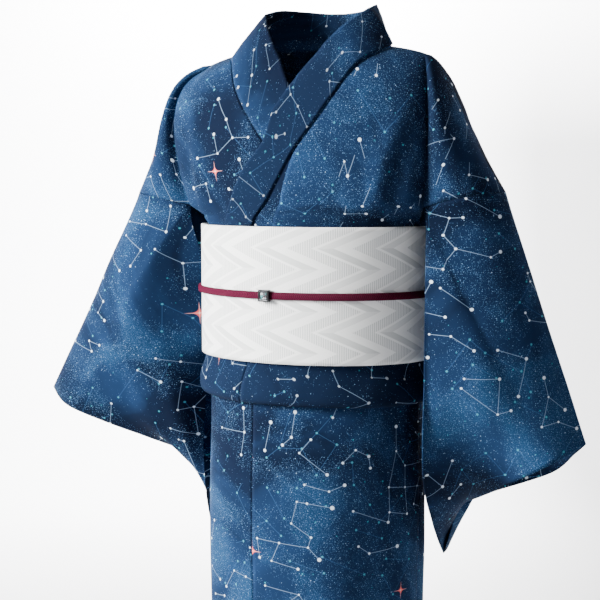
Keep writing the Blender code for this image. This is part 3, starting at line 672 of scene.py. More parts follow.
def night_print(name, calm_from, calm_to, figures=1.0, sparks=0.42, seed=0.0):
    """Navy cotton printed with haze, star dust, stars joined into open figures and a few coral sparks.

    Between the two heights of its UV map the print is calm and dark.
    """
    material, shader, start = new_material(name, 0.90, Specular_IOR_Level=0.05)
    cloth = start.node("ShaderNodeUVMap", uv_map="cloth")
    place = start.vector("ADD", cloth, (seed, seed * 0.7, 0.0))
    haze = start.noise(place, 4.6, 5.0, 0.55, 0.5, noise_dimensions="2D")
    drift = start.noise(place, 9.0, 3.0, 0.6, 0.9, noise_dimensions="2D")
    _, height, _ = cloth.split()
    calm = height.span(calm_from - CALM_FADE, calm_from) * (1.0 - height.span(calm_to, calm_to + CALM_FADE))
    lively = 1.0 - calm * 0.92
    cloud = haze.span(0.45, 0.64) * lively
    glow = (haze * 0.6 + drift * 0.4).span(0.53, 0.70) * lively
    ground = haze.span(0.36, 0.50).tint(NIGHT_DARK, NIGHT_NAVY)
    ground = cloud.tint(ground, NIGHT_BLUE)
    ground = (glow * 0.9).tint(ground, NIGHT_TEAL)
    ground = (calm * 0.30).tint(ground, NIGHT_DARK)
    thick = (drift * 0.65 + haze * 0.35).span(0.42, 0.60) * lively

    for grain in STAR_DUST:
        cells = start.node(
            "ShaderNodeTexVoronoi", {"Vector": place, "Scale": grain.per_metre}, output="Distance",
            voronoi_dimensions="2D")
        red, green, blue = cells.also("Color").split()
        chosen = green < (grain.fewest + thick * (grain.most - grain.fewest))
        size = grain.radius * (0.35 + red * red * 0.65)
        disc = 1.0 - start.math("DIVIDE", cells, size, clamp=True)
        disc = start.math("MULTIPLY", disc, 2.4, clamp=True)
        ground = (disc * chosen * (0.25 + blue * 0.75)).tint(ground, grain.tone)

    turned = start.node("ShaderNodeMapping", {"Vector": place, "Rotation": (0.0, 0.0, 0.62)})
    joins, own, joined, chance = star_net(start, turned, FAINT_FIGURES, 0.40, 3.0, 0.31)
    ground = (joins.within(0.0004, 0.0004) * 0.40 * figures).tint(ground, colour(50, 88, 130))
    ground = (own.within(0.0014, 0.0008) * joined * 0.8 * figures).tint(ground, colour(70, 146, 168))

    turned = start.node("ShaderNodeMapping", {"Vector": place, "Rotation": (0.0, 0.0, 0.27)})
    joins, own, joined, chance = star_net(start, turned, BRIGHT_FIGURES, 0.42, 11.0, 0.27)
    ground = (joins.within(0.00036, 0.0004) * 0.5 * figures).tint(ground, colour(140, 166, 196))
    radius = 0.0011 + chance * 0.0010
    star = (own - radius).within(0.0, 0.0006) * joined * figures * (1.0 - calm * 0.5)
    ground = star.tint(ground, colour(208, 222, 236))

    cell, inside = start.squares(place, SPARK_SPACING)
    random = start.node("ShaderNodeTexWhiteNoise", {"Vector": cell}, output="Color", noise_dimensions="2D")
    red, green, blue = random.split()
    centre = start.vector("MULTIPLY_ADD", random, (0.6, 0.6, 0.0), (0.2, 0.2, 0.0))
    away = start.vector("SUBTRACT", inside, centre)
    away = start.vector("SCALE", away, None, None, (1.75 - green * 0.75) * SPARK_SPACING)
    across, up, _ = start.vector("ABSOLUTE", away).split()
    reach = start.math("SQRT", across) + start.math("SQRT", up)
    shown = blue < sparks
    ground = (reach.within(0.108, 0.016) * shown).tint(ground, colour(214, 92, 88))
    rays = start.math("MINIMUM", across, up).within(0.0005, 0.0004)
    rays = rays * start.math("MAXIMUM", across, up).within(0.0150, 0.006) * shown
    ground = (rays * 0.6).tint(ground, colour(226, 160, 156))
    ground = (reach.within(0.055, 0.02) * shown).tint(ground, colour(240, 196, 188))

    ground.feed(shader, "Base Color")
    # The fine over and under of a plain weave, and the slight slub of its yarn.
    x, y, _ = cloth.split()
    warp, weft = ((way * YARNS_PER_METRE * math.tau).sine() for way in (x, y))
    slub = start.noise(cloth, 260.0, 3.0, 0.6)
    (warp * weft * 0.4 + slub).emboss(shader, 0.5, 0.00006)
    return material


navy_print = night_print("night_cotton", -0.525, -0.405)

BODY_CREASES = [
    Crease("front", [(0.150, -0.080), (0.128, -0.160), (0.118, -0.225)], 0.012, 0.003),
    Crease("front", [(0.158, -0.120), (0.146, -0.185), (0.140, -0.228)], 0.010, -0.003),
    Crease("front", [(0.082, -0.165), (0.078, -0.200), (0.076, -0.230)], 0.009, -0.0015),
    Crease("front", [(-0.150, -0.080), (-0.132, -0.150), (-0.120, -0.225)], 0.012, 0.003),
    Crease("front", [(-0.156, -0.130), (-0.144, -0.180), (-0.136, -0.228)], 0.011, -0.0025),
    Crease("front", [(-0.095, -0.175), (-0.088, -0.205), (-0.086, -0.232)], 0.009, -0.0015),
    Crease("front", [(-0.104, -0.398), (-0.100, -0.430), (-0.100, -0.452)], 0.012, -0.0015),
    Crease("front", [(0.034, -0.398), (0.030, -0.425), (0.030, -0.448)], 0.012, 0.0012),
    Crease("front", [(0.096, -0.396), (0.100, -0.425), (0.101, -0.450)], 0.014, -0.0015),
    Crease("front", [(0.104, -0.500), (0.110, -0.800), (0.116, -1.210)], 0.018, -0.0030),
    Crease("front", [(0.064, -0.520), (0.060, -0.900), (0.050, -1.220)], 0.030, 0.0020),
    Crease("front", [(-0.118, -0.520), (-0.122, -0.900), (-0.124, -1.220)], 0.018, 0.0025),
    Crease("front", [(-0.018, -0.700), (-0.024, -0.950), (-0.030, -1.230)], 0.026, -0.0018),
    Crease("left", [(-0.010, -0.500), (0.004, -0.820), (0.010, -1.210)], 0.022, -0.0030),
    Crease("left", [(0.050, -0.540), (0.058, -0.900), (0.064, -1.220)], 0.024, 0.0025),
    Crease("right", [(0.020, -0.510), (0.012, -0.860), (0.004, -1.220)], 0.022, -0.0030),
    Crease("back", [(-0.118, -0.070), (-0.090, -0.150), (-0.076, -0.226)], 0.018, -0.0035),
    Crease("back", [(0.124, -0.060), (0.094, -0.140), (0.070, -0.226)], 0.018, 0.0030),
    Crease("back", [(-0.040, -0.120), (-0.034, -0.180), (-0.030, -0.228)], 0.014, 0.0020),
    Crease("back", [(-0.080, -0.398), (-0.084, -0.425), (-0.084, -0.450)], 0.014, -0.0016),
    Crease("back", [(0.060, -0.398), (0.064, -0.425), (0.064, -0.450)], 0.014, 0.0014),
    Crease("back", [(-0.090, -0.500), (-0.094, -0.850), (-0.100, -1.220)], 0.022, -0.0030),
    Crease("back", [(-0.036, -0.540), (-0.040, -0.880), (-0.046, -1.210)], 0.026, 0.0022),
    Crease("back", [(0.084, -0.510), (0.088, -0.840), (0.094, -1.220)], 0.024, -0.0026),
]
BODY_STEPS = [4] * CHEST_LAST + [4, 2, 4, 3, 4, 6, 5, 5, 5, 3, 2, 2, 3, 3, 2, 3, 5, 8, 12, 14, 14, 14, 14]
CHEST_COLUMNS, ARM_COLUMNS, NECK_COLUMNS, NECK_TURN = 9, 4, 4, 46.0


def body_panel(side, layers, other, shift):
    rows = waist_rows(layers, "overlap_seam", "side")
    other_rows = waist_rows(other, "overlap_seam", "side")

    def arm(column, row, back):
        return arm_point(column / ARM_COLUMNS, chest_drop(row), side, layers.upper * LAYER, back)

    def front(column, row):
        if column > CHEST_COLUMNS:
            return arm(column - CHEST_COLUMNS, row, False)
        point = front_point(layers, rows, "overlap_seam", "side", row, column / CHEST_COLUMNS, side)
        if column == 0 and row > 0:
            point.x += side * SEAM / 2
        return point

    back_columns = NECK_COLUMNS + CHEST_COLUMNS

    def behind(column, row):
        if column > back_columns:
            return arm(column - back_columns, row, True)
        if column < NECK_COLUMNS:
            turn = NECK_TURN * column / NECK_COLUMNS
        else:
            turn = lerp(NECK_TURN, 90.0, (column - NECK_COLUMNS) / CHEST_COLUMNS)
        mean = (layers.upper + other.upper) / 2
        lift = lerp(mean, layers.upper, turn / 90.0) * LAYER
        above = chest_point(turn * side, chest_drop(row), lift, back=True)
        if row > CHEST_LAST:
            share = max(row - CHEST_LAST - 1, 0.0) / (len(rows) - 1)
            z, own_lift, _, outer = curve_at(rows, share)
            other_lift = curve_at(other_rows, share)[1]
            lift = lerp((own_lift + other_lift) / 2, own_lift, turn / 90.0)
            below = waist_point(lerp(180.0, 180.25 - outer, turn / 90.0) * side, z, lift)
            above = above.lerp(below, min(row - CHEST_LAST, 1.0))
        if column == 0:
            above.x += side * SEAM / 2
        return above

    rows_down = fine(len(BODY_STEPS), BODY_STEPS)
    mesh, index = grid(
        fine(CHEST_COLUMNS + ARM_COLUMNS, 5), rows_down, front,
        lambda column, row: column < CHEST_COLUMNS or row < CHEST_LAST,
    )
    lay_flat(mesh, index, CHEST_COLUMNS * 5, shift)
    other_side, index = grid(
        fine(back_columns + ARM_COLUMNS, 4), rows_down, behind,
        lambda column, row: column < back_columns or row < CHEST_LAST,
    )
    lay_flat(other_side, index, back_columns * 4, shift, turned=-1.0)
    join(mesh, other_side)
    bmesh.ops.remove_doubles(mesh, verts=mesh.verts, dist=WELD)
    face_outward(mesh, Vector((side * 0.05, 0.0, -0.4)))
    press_creases(mesh, BODY_CREASES)
    name = "left" if side > 0 else "right"
    piece = finish_cloth(f"cloth_body_{name}", mesh, navy_print)
    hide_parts(f"body_panel_{name}")


body_panel(1, LEFT, RIGHT, (0.0, 0.0))
body_panel(-1, RIGHT, LEFT, (3.1, 0.6))


# Overlap panels: a narrow length of the same printed cotton, sewn to the inner edge of each front from the
# collar down to the hem. The left one lies over the right.
OVERLAP_COLUMNS = 6
OVERLAP_FIRST_ROW = 8


def overlap_panel(side, layers, shift):
    rows = waist_rows(layers, "collar_seam", "overlap_seam")

    def place(column, row):
        across = column / OVERLAP_COLUMNS
        row += OVERLAP_FIRST_ROW
        point = front_point(layers, rows, "collar_seam", "overlap_seam", row, across, side)
        if column == 0:
            point.x += side * SEAM
        if column == OVERLAP_COLUMNS:
            point.x -= side * SEAM / 2
        return point

    steps = BODY_STEPS[OVERLAP_FIRST_ROW:]
    mesh, index = grid(fine(OVERLAP_COLUMNS, 6), fine(len(steps), steps), place)
    lay_flat(mesh, index, OVERLAP_COLUMNS * 6, shift)
    face_outward(mesh, Vector((0.0, 0.0, -0.4)))
    press_creases(mesh, BODY_CREASES)
    name = "left" if side > 0 else "right"
    piece = finish_cloth(f"cloth_overlap_{name}", mesh, navy_print)
    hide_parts(f"overlap_panel_{name}")


overlap_panel(1, LEFT, (1.3, -0.165))
overlap_panel(-1, RIGHT, (2.3, 0.9))


# The collar: a folded band sewn round the neck and down both fronts, and its separate cover over the band
# where it is worn against the neck.
COLLAR_COLUMNS = 4
COLLAR_GAP = 0.0004
COLLAR_RISE = 0.020
COLLAR_CROWN = 0.004
LEFT_COLLAR_ROWS, RIGHT_COLLAR_ROWS = 6, 3
LEFT_COVER_ROWS, RIGHT_COVER_ROWS = 2, -1
RIGHT_COLLAR_SPREAD = 1.10
# Drops below the shoulder by which the collar's free edge has come in over the chest, starts to lie flat on
# it and lies flat.
OVER_CHEST, LIES_FROM, LIES_FLAT = 0.109, 0.138, 0.152
NECK_STAND = [
    Vector((0.000, 0.094, 0.052)), Vector((0.024, 0.090, 0.053)), Vector((0.046, 0.075, 0.055)),
    Vector((0.064, 0.046, 0.054)), Vector((0.070, 0.008, 0.044)),
]
Stand = namedtuple("Stand", "drop x y z")
SHOULDER_STAND = [
    Stand(0.000, 0.070, 0.008, 0.044),
    Stand(0.027, 0.053, -0.025, 0.022),
    Stand(0.074, 0.026, -0.060, -0.018),
    Stand(0.109, 0.000, -0.090, -0.061),
    Stand(0.146, -0.022, -0.104, -0.098),
]
stand_table = smooth_table(SHOULDER_STAND)


def cloth_point(turn, z, lift):
    if z >= -SEAM_DROP:
        return chest_point(turn, -z, lift)
    if z <= WAIST_TOP:
        return waist_point(turn, z, lift)
    share = (z + SEAM_DROP) / (WAIST_TOP + SEAM_DROP)
    return chest_point(turn, SEAM_DROP, lift).lerp(waist_point(turn, WAIST_TOP, lift), share)


def front_turn(point):
    """Turn of a point that lies over the front's cloth."""
    if point.z >= WAIST_TOP:
        width = read(chest_table, "fold_left" if point.x > 0 else "fold_right", max(-point.z, 0.0))
        return math.degrees(math.asin(max(-1.0, min(1.0, point.x / width))))
    width = read(waist_table, "half_width", point.z)
    depth = read(waist_table, "half_depth", point.z)
    return math.degrees(math.atan2(point.x / width, -point.y / depth))


def collar_edges(side, layers, rows, at, behind):
    """Seam and free edge of the collar at a row, in front of the shoulder line or behind it."""
    spread = RIGHT_COLLAR_SPREAD if side < 0 else 1.0
    if behind:
        turn = NECK_TURN * at / NECK_COLUMNS
        seam = chest_point(turn * side, 0.0, (LEFT.upper + RIGHT.upper) / 2 * LAYER, back=True)
        stand = curve_at(NECK_STAND, at / (len(NECK_STAND) - 1))
        return seam, Vector((side * spread * stand.x, stand.y, stand.z))
    seam = front_point(layers, rows, "collar_seam", "overlap_seam", at, 0.0, side)
    drop = chest_drop(at) if at <= CHEST_LAST else -seam.z
    lift = layers.upper * LAYER
    height = -drop + COLLAR_RISE
    low = cloth_point(read(edge_table, "collar_free", height) * side, height, lift)
    if drop >= LIES_FLAT:
        return seam, low
    free = Vector([read(stand_table, field, drop) for field in ("x", "y", "z")])
    on_chest = min(1.0, drop / OVER_CHEST)
    free = Vector((side * lerp(spread, 1.0, on_chest ** 3) * free.x, free.y - lift * on_chest, free.z))
    return seam, free.lerp(low, max(0.0, (drop - LIES_FROM) / (LIES_FLAT - LIES_FROM)))


def collar_sheet(left_rows, right_rows, start, out, parts, shift):
    left = waist_rows(LEFT, "collar_seam", "overlap_seam")
    right = waist_rows(RIGHT, "collar_seam", "overlap_seam")
    stations = [(1, LEFT, left, at, False) for at in reversed(fine(CHEST_LAST + left_rows, parts))]
    stations += [(1, LEFT, left, at, True) for at in reversed(fine(NECK_COLUMNS, 6)[:-1])]
    stations += [(-1, RIGHT, right, at, True) for at in fine(NECK_COLUMNS, 6)[1:-1]]
    stations += [(-1, RIGHT, right, at, False) for at in fine(CHEST_LAST + right_rows, parts)]

    def place(column, row):
        side, layers, rows, at, behind = stations[int(row)]
        seam, free = collar_edges(side, layers, rows, at, behind)
        across = free - seam
        share = lerp(start, 1.0, column / COLLAR_COLUMNS)
        point = seam + across * share + across.normalized() * COLLAR_GAP * (1 - share)
        on_chest = 0.0 if behind else min(1.0, at / 6)
        middle = Vector((0.0, 0.03, point.z))
        crown = COLLAR_CROWN * math.sin(math.pi * share) * (1 - on_chest)
        loose = point + (point - middle).normalized() * crown
        if on_chest > 0.0:
            flat = cloth_point(front_turn(point), point.z, layers.upper * LAYER)
            tight = Vector((flat.x if point.z < WAIST_TOP else point.x, flat.y, point.z))
            loose = loose.lerp(tight, max(0.0, (on_chest - 0.7) / 0.3))
        return loose

    mesh, index = grid(fine(COLLAR_COLUMNS, 4), [float(n) for n in range(len(stations))], place)
    lay_flat(mesh, index, 8, shift)
    face_outward(mesh, Vector((0.0, 0.0, -0.10)))
    mesh.normal_update()
    for vertex in mesh.verts:
        vertex.co += vertex.normal * out
    return mesh


collar_print = night_print("collar_cotton", -0.38, 0.05, figures=0.6, sparks=0.0, seed=5.3)
band_mesh = collar_sheet(LEFT_COLLAR_ROWS, RIGHT_COLLAR_ROWS, 0.0, 0.0, 5, (0.0, 0.0))
collar_band = finish_cloth("cloth_collar_band", band_mesh, collar_print)
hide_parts("collar_band")
cover_mesh = collar_sheet(LEFT_COVER_ROWS, RIGHT_COVER_ROWS, 0.03, LAYER, 5, (0.0, -0.15))
collar_cover = finish_cloth("cloth_collar_cover", cover_mesh, collar_print, wall=0.0012)
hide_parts("collar_cover")


# Sleeves: wide lengths folded at the top, sewn to the body across the arm and left open below it. They
# hang free, so long soft folds run down them.
Sleeve = namedtuple("Sleeve", "name side cuff_top front_edge back_edge cuff_front cuff_back bottom")
SLEEVES = [
    Sleeve(
        name="left", side=1, cuff_top=(0.364, 0.000, -0.497),
        front_edge=[(0.175, -0.056, -0.235), (0.179, -0.068, -0.300), (0.182, -0.078, -0.420),
                    (0.180, -0.072, -0.540), (0.172, -0.010, -0.620)],
        back_edge=[(0.178, 0.066, -0.235), (0.181, 0.092, -0.300), (0.184, 0.108, -0.420),
                   (0.182, 0.100, -0.540), (0.175, 0.072, -0.620)],
        cuff_front=[(0.331, -0.038, -0.518), (0.289, -0.028, -0.543), (0.232, 0.028, -0.579),
                    (0.184, 0.088, -0.608)],
        cuff_back=[(0.340, 0.046, -0.520), (0.302, 0.078, -0.555), (0.232, 0.028, -0.579),
                   (0.184, 0.088, -0.608)],
        bottom=[(0.170, 0.036, -0.668), (0.162, 0.078, -0.672), (0.152, 0.122, -0.664),
                (0.142, 0.160, -0.630)],
    ),
    Sleeve(
        name="right", side=-1, cuff_top=(0.425, -0.010, -0.480),
        front_edge=[(0.169, -0.036, -0.235), (0.169, -0.006, -0.300), (0.171, 0.008, -0.420),
                    (0.184, 0.016, -0.540), (0.185, 0.024, -0.620)],
        back_edge=[(0.186, 0.066, -0.235), (0.192, 0.096, -0.300), (0.194, 0.110, -0.420),
                   (0.192, 0.100, -0.540), (0.188, 0.072, -0.620)],
        cuff_front=[(0.381, -0.038, -0.499), (0.330, -0.020, -0.522), (0.266, 0.022, -0.552),
                    (0.206, 0.086, -0.588)],
        cuff_back=[(0.390, 0.040, -0.502), (0.344, 0.070, -0.530), (0.266, 0.022, -0.552),
                   (0.206, 0.086, -0.588)],
        bottom=[(0.184, 0.036, -0.669), (0.180, 0.078, -0.671), (0.172, 0.120, -0.658),
                (0.162, 0.156, -0.618)],
    ),
]
Fold = namedtuple("Fold", "side across width depth")
SLEEVE_FOLDS = [
    Fold(1, 0.16, 0.10, 0.000),
    Fold(1, 0.74, 0.11, 0.006),
    Fold(-1, 0.34, 0.13, -0.003),
    Fold(-1, 0.62, 0.12, 0.004),
    Fold(-1, 0.84, 0.09, -0.004),
]
# The front layer's broad ridge, where the cloth that hangs from the arm turns back towards the top fold: its
# distance from the centre plane, its width and how far it stands forward.
Ridge = namedtuple("Ridge", "side x width forward")
RIDGES = [
    Ridge(1, 0.240, 0.080, 0.012),
    Ridge(-1, 0.236, 0.055, 0.020),
]
# Shares of the sleeve's depth: the part sewn to the body over the arm, and the open part of the cuff.
ARM_SHARE = 0.17
CUFF_OPEN = 0.5
CUFF_CLOSE = 0.06
SLEEVE_SWELL = 0.020
SLEEVE_COLUMNS, HANG_ROWS = 12, 7
# The left sleeve's front layer turns away from the front, so its print is laid out along that slant.
PRINT_ACROSS, PRINT_DEEP = 0.90, 0.43
# Passes that ease the line where the arm's roundness turns into the hanging cloth.
SLEEVE_SMOOTHING = 110
SLEEVE_CREASES = [
    Crease("front", [(0.232, -0.130), (0.250, -0.200), (0.262, -0.260)], 0.012, -0.0012),
    Crease("front", [(0.252, -0.300), (0.254, -0.400), (0.250, -0.520)], 0.022, 0.0020),
    Crease("front", [(0.300, -0.400), (0.296, -0.460), (0.286, -0.520)], 0.014, -0.0010),
    Crease("front", [(-0.190, -0.150), (-0.232, -0.240), (-0.280, -0.310)], 0.013, -0.0015),
    Crease("front", [(-0.222, -0.300), (-0.214, -0.430), (-0.210, -0.560)], 0.016, 0.0013),
    Crease("front", [(-0.300, -0.360), (-0.286, -0.440), (-0.270, -0.520)], 0.013, -0.0013),
    Crease("back", [(0.200, -0.120), (0.226, -0.260), (0.236, -0.420)], 0.018, -0.0035),
    Crease("back", [(0.280, -0.300), (0.262, -0.430), (0.240, -0.560)], 0.016, 0.0030),
    Crease("back", [(-0.196, -0.130), (-0.224, -0.250), (-0.240, -0.400)], 0.018, -0.0030),
    Crease("back", [(-0.290, -0.330), (-0.268, -0.450), (-0.240, -0.580)], 0.016, 0.0030),
]


def sleeve(cut, shift):
    def placed(xyz):
        return Vector((xyz[0] * cut.side, xyz[1], xyz[2]))

    top = arm_point(1.0, SEAM_DROP, cut.side, 0.0)
    cuff_top = placed(cut.cuff_top)
    along = (cuff_top - top).normalized()
    bottom = [placed(p) for p in cut.bottom]
    fronts = [cuff_top] + [placed(p) for p in cut.cuff_front] + [bottom[-1]]
    backs = [cuff_top] + [placed(p) for p in cut.cuff_back] + [bottom[-1]]
    lift = (LEFT if cut.side > 0 else RIGHT).upper * LAYER

    def body_edge(row, back):
        on_arm = min(row, ARM_COLUMNS) / ARM_COLUMNS
        point = arm_point(1 - on_arm, SEAM_DROP, cut.side, lift, back) + along * 2 * SEAM
        point.x += cut.side * 0.002 * on_arm ** 2
        if row <= ARM_COLUMNS:
            return point
        hang = [placed(p) for p in (cut.back_edge if back else cut.front_edge)]
        return curve_at([point] + hang + [bottom[0]], (row - ARM_COLUMNS) / HANG_ROWS)

    def layer(back):
        def place(column, row):
            u = column / SLEEVE_COLUMNS
            if row <= ARM_COLUMNS:
                w = ARM_SHARE * row / ARM_COLUMNS
            else:
                w = lerp(ARM_SHARE, 1.0, (row - ARM_COLUMNS) / HANG_ROWS)
            fold = top.lerp(cuff_top, u) + along * 2 * SEAM * (1 - u)
            low = curve_at(bottom, u)
            cuff = curve_at(fronts, w)
            if back:
                cuff = curve_at(backs, w).lerp(cuff, min(max((w - CUFF_OPEN) / CUFF_CLOSE, 0.0), 1.0))
            point = (
                fold * (1 - w) + low * w + body_edge(row, back) * (1 - u) + cuff * u
                - body_edge(0, back) * (1 - u) * (1 - w) - cuff_top * u * (1 - w)
                - bottom[0] * (1 - u) * w - bottom[-1] * u * w
            )
            swell = SLEEVE_SWELL * math.sin(math.pi * w) * math.sin(math.pi * u)
            point.y += swell if back else -swell
            for ridge in RIDGES:
                if ridge.side == cut.side and not back:
                    near = math.exp(-((abs(point.x) - ridge.x) / ridge.width) ** 2)
                    down = ease(w / 0.14) * (1 - ease((w - 0.60) / 0.40))
                    along_arm = ease(u / 0.32) * (1 - ease((u - 0.75) / 0.25))
                    point.y -= ridge.forward * near * down * along_arm
            hang = math.sin(math.pi * min(1.0, 0.08 + 0.72 * w))
            for fold in SLEEVE_FOLDS:
                if fold.side == cut.side:
                    point.y += fold.depth * hang * math.exp(-((u - fold.across) / fold.width) ** 2)
            return point

        rows = fine(ARM_COLUMNS + HANG_ROWS, [4] * ARM_COLUMNS + [8] * HANG_ROWS)
        mesh, index = grid(fine(SLEEVE_COLUMNS, 5), rows, place)
        uv = mesh.loops.layers.uv.new("cloth")
        for face in mesh.faces:
            for loop in face.loops:
                x, y, z = loop.vert.co
                out = abs(x) if back or cut.side < 0 else abs(x) * PRINT_ACROSS + y * PRINT_DEEP
                loop[uv].uv = (shift[0] + cut.side * (1.2 - out if back else out), shift[1] + z)
        inner = [vert for vert in mesh.verts if not vert.is_boundary]
        for _ in range(SLEEVE_SMOOTHING):
            bmesh.ops.smooth_vert(mesh, verts=inner, factor=0.5, use_axis_y=True)
        return mesh

    mesh = layer(False)
    join(mesh, layer(True))
    bmesh.ops.remove_doubles(mesh, verts=mesh.verts, dist=WELD)
    bmesh.ops.recalc_face_normals(mesh, faces=mesh.faces)
    front_face = min(mesh.faces, key=lambda f: f.calc_center_median().y)
    if front_face.normal.y > 0:
        bmesh.ops.reverse_faces(mesh, faces=mesh.faces)
    press_creases(mesh, SLEEVE_CREASES)
    piece = finish_cloth(f"cloth_sleeve_{cut.name}", mesh, navy_print)
    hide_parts(f"sleeve_{cut.name}")


sleeve(SLEEVES[0], (4.4, 0.3))
sleeve(SLEEVES[1], (5.2, 1.5))


# The obi: a stiff band wound round the waist over the tuck's upper edge. It is woven in white, with tonal
# grey zigzags, some ribbed and some smooth, and stays flat and upright.
OBI_TOP = -0.2335
OBI_HEIGHT = 0.171
OBI_WALL = 0.0030
OBI_HALF_WIDTH = 0.1585
OBI_HALF_DEPTH = 0.1235
ZIGZAG_RISE, ZIGZAG_REACH, ZIGZAG_SPACING = 0.026, 0.058, 0.075
RIBS_PER_METRE, ROWS_PER_METRE = 380.0, 1100.0


def ring(columns, heights, point_at):
    mesh = bmesh.new()
    bmesh.ops.create_grid(mesh, x_segments=columns, y_segments=len(heights) - 1, size=0.5)
    layer = mesh.loops.layers.uv.new("cloth")
    for face in mesh.faces:
        for loop in face.loops:
            loop[layer].uv = (loop.vert.co.x + 0.5, loop.vert.co.y + 0.5)
    for vertex in mesh.verts:
        column = round((vertex.co.x + 0.5) * columns) % columns
        vertex.co = point_at(column / columns, heights[round((vertex.co.y + 0.5) * (len(heights) - 1))])
    bmesh.ops.remove_doubles(mesh, verts=mesh.verts, dist=0.00002)
    return mesh


def scale_uv(mesh, width, height):
    layer = mesh.loops.layers.uv["cloth"]
    for face in mesh.faces:
        for loop in face.loops:
            loop[layer].uv = (loop[layer].uv.x * width, loop[layer].uv.y * height)


def obi_point(share, z):
    angle = math.tau * (share + 0.5)
    return Vector((OBI_HALF_WIDTH * math.sin(angle), -OBI_HALF_DEPTH * math.cos(angle), z))


def chevron_weave(name):
    """White satin, ribbed and smooth pale grey zigzags, woven in one cloth, with a painted sheen on every
    other smooth arm.
    """
    material, shader, start = new_material(name, 0.50, Sheen_Weight=0.10, Specular_IOR_Level=0.35)
    cloth = start.node("ShaderNodeUVMap", uv_map="cloth")
    x, y, _ = cloth.split()
    height = y / ZIGZAG_RISE + 1.0
    zig = start.math("PINGPONG", height, 1.0)
    rising = start.math("MODULO", start.math("FLOOR", height, None) + 40.0, 2.0)
    run = (x - zig * ZIGZAG_REACH) / ZIGZAG_SPACING + 8.0
    share = run.fraction()
    ribbed = share.span(0.14, 0.165) * share.within(0.52, 0.025)
    smooth = share.span(0.60, 0.625) * share.within(0.86, 0.025)
    ribs = (x * RIBS_PER_METRE * math.tau).sine()
    fine_ribs = (y * ROWS_PER_METRE * math.tau).sine()
    # Every other arm of the smooth zigzags is painted greyer. This is painted sheen, standing in for the
    # light catching the weave's two slants differently.
    grey = ribbed * (0.42 + ribs * 0.35) + smooth * (0.36 + rising * 0.24)
    ground = start.math("MULTIPLY", grey, 1.0, clamp=True).tint(colour(251, 253, 252), colour(178, 183, 183))
    ground.feed(shader, "Base Color")
    (ribbed * ribs * 0.4 + smooth * 0.12 + fine_ribs * 0.06).emboss(shader, 0.55, 0.0003)
    return material


white_weave = chevron_weave("obi_weave")
obi_heights = [OBI_TOP - OBI_HEIGHT * k / 32 for k in range(33)]
obi_mesh = ring(192, obi_heights, obi_point)
scale_uv(obi_mesh, 0.89, -OBI_HEIGHT)
obi_piece = finish_cloth(
    "cloth_obi_band", obi_mesh, white_weave, wall=OBI_WALL, centre=Vector((0.0, 0.0, -0.32)))
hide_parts("obi_band")


# The cord: a flat silk braid drawn round the middle of the obi, over it and under the bow. Two slanting sets
# of strands cross in it.
CORD_WIDTH = 0.0095
CORD_WALL = 0.0040
CORD_GAP = 0.0006
CORD_MIDDLE = OBI_TOP - OBI_HEIGHT / 2
CORD_LENGTH = 0.91
CORD_GIRTH = 0.0248
STRANDS_PER_METRE = 420.0


def cord_point(share, around):
    """A point of the flat braid: share runs round the body and around goes round its own section."""
    angle = math.tau * (share + 0.5)
    turn = math.tau * around
    up = math.copysign(abs(math.cos(turn)) ** 0.6, math.cos(turn)) * CORD_WIDTH / 2
    out = math.copysign(abs(math.sin(turn)) ** 0.6, math.sin(turn)) * CORD_WALL / 2
    out += OBI_WALL / 2 + CORD_GAP + CORD_WALL / 2
    width, depth = OBI_HALF_WIDTH + out, OBI_HALF_DEPTH + out
    return Vector((width * math.sin(angle), -depth * math.cos(angle), CORD_MIDDLE + up))


burgundy, burgundy_shader, start = new_material("burgundy_braid", 0.65, Specular_IOR_Level=0.08)
cloth = start.node("ShaderNodeUVMap", uv_map="cloth")
x, y, _ = cloth.split()
rising = ((x + y * 0.8) * STRANDS_PER_METRE * math.tau).sine()
falling = ((x - y * 0.8) * STRANDS_PER_METRE * math.tau).sine()
half_way = (y / (CORD_GIRTH / 4)).fraction() > 0.5
strand = rising * half_way + falling * (1.0 - half_way)
# The braid's own burgundy, painted darker in the grooves between strands and lighter on their crowns: painted
# shade of the braid's relief.
shade = strand.span(-1.0, 1.0).tint(colour(40, 2, 20), colour(92, 4, 44))
shade.feed(burgundy_shader, "Base Color")
strand.emboss(burgundy_shader, 0.7, 0.0004)

cord_mesh = ring(240, [k / 16 for k in range(17)], cord_point)
scale_uv(cord_mesh, CORD_LENGTH, CORD_GIRTH)
face_outward(cord_mesh, Vector((0.0, 0.0, CORD_MIDDLE)))
cord_piece = make_object("braided_cord", cord_mesh, [burgundy])
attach(cord_piece, "root")
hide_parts("obijime_cord")


# The clip: a small square tray of black enamel with a bright worn edge, hooked over the cord, and the
# glazed mosaic set into it.
CLIP_SIZE = 0.0150
CLIP_WALL = 0.0030
CLIP_RIM = 0.0030
CLIP_TURN = -3.6
CLIP_BEVEL = 0.0003
CLIP_PLAY = 0.0004
TRAY_SUNK = 0.0012
MOSAIC_DEPTH, MOSAIC_RAISED = 0.0012, 0.0008


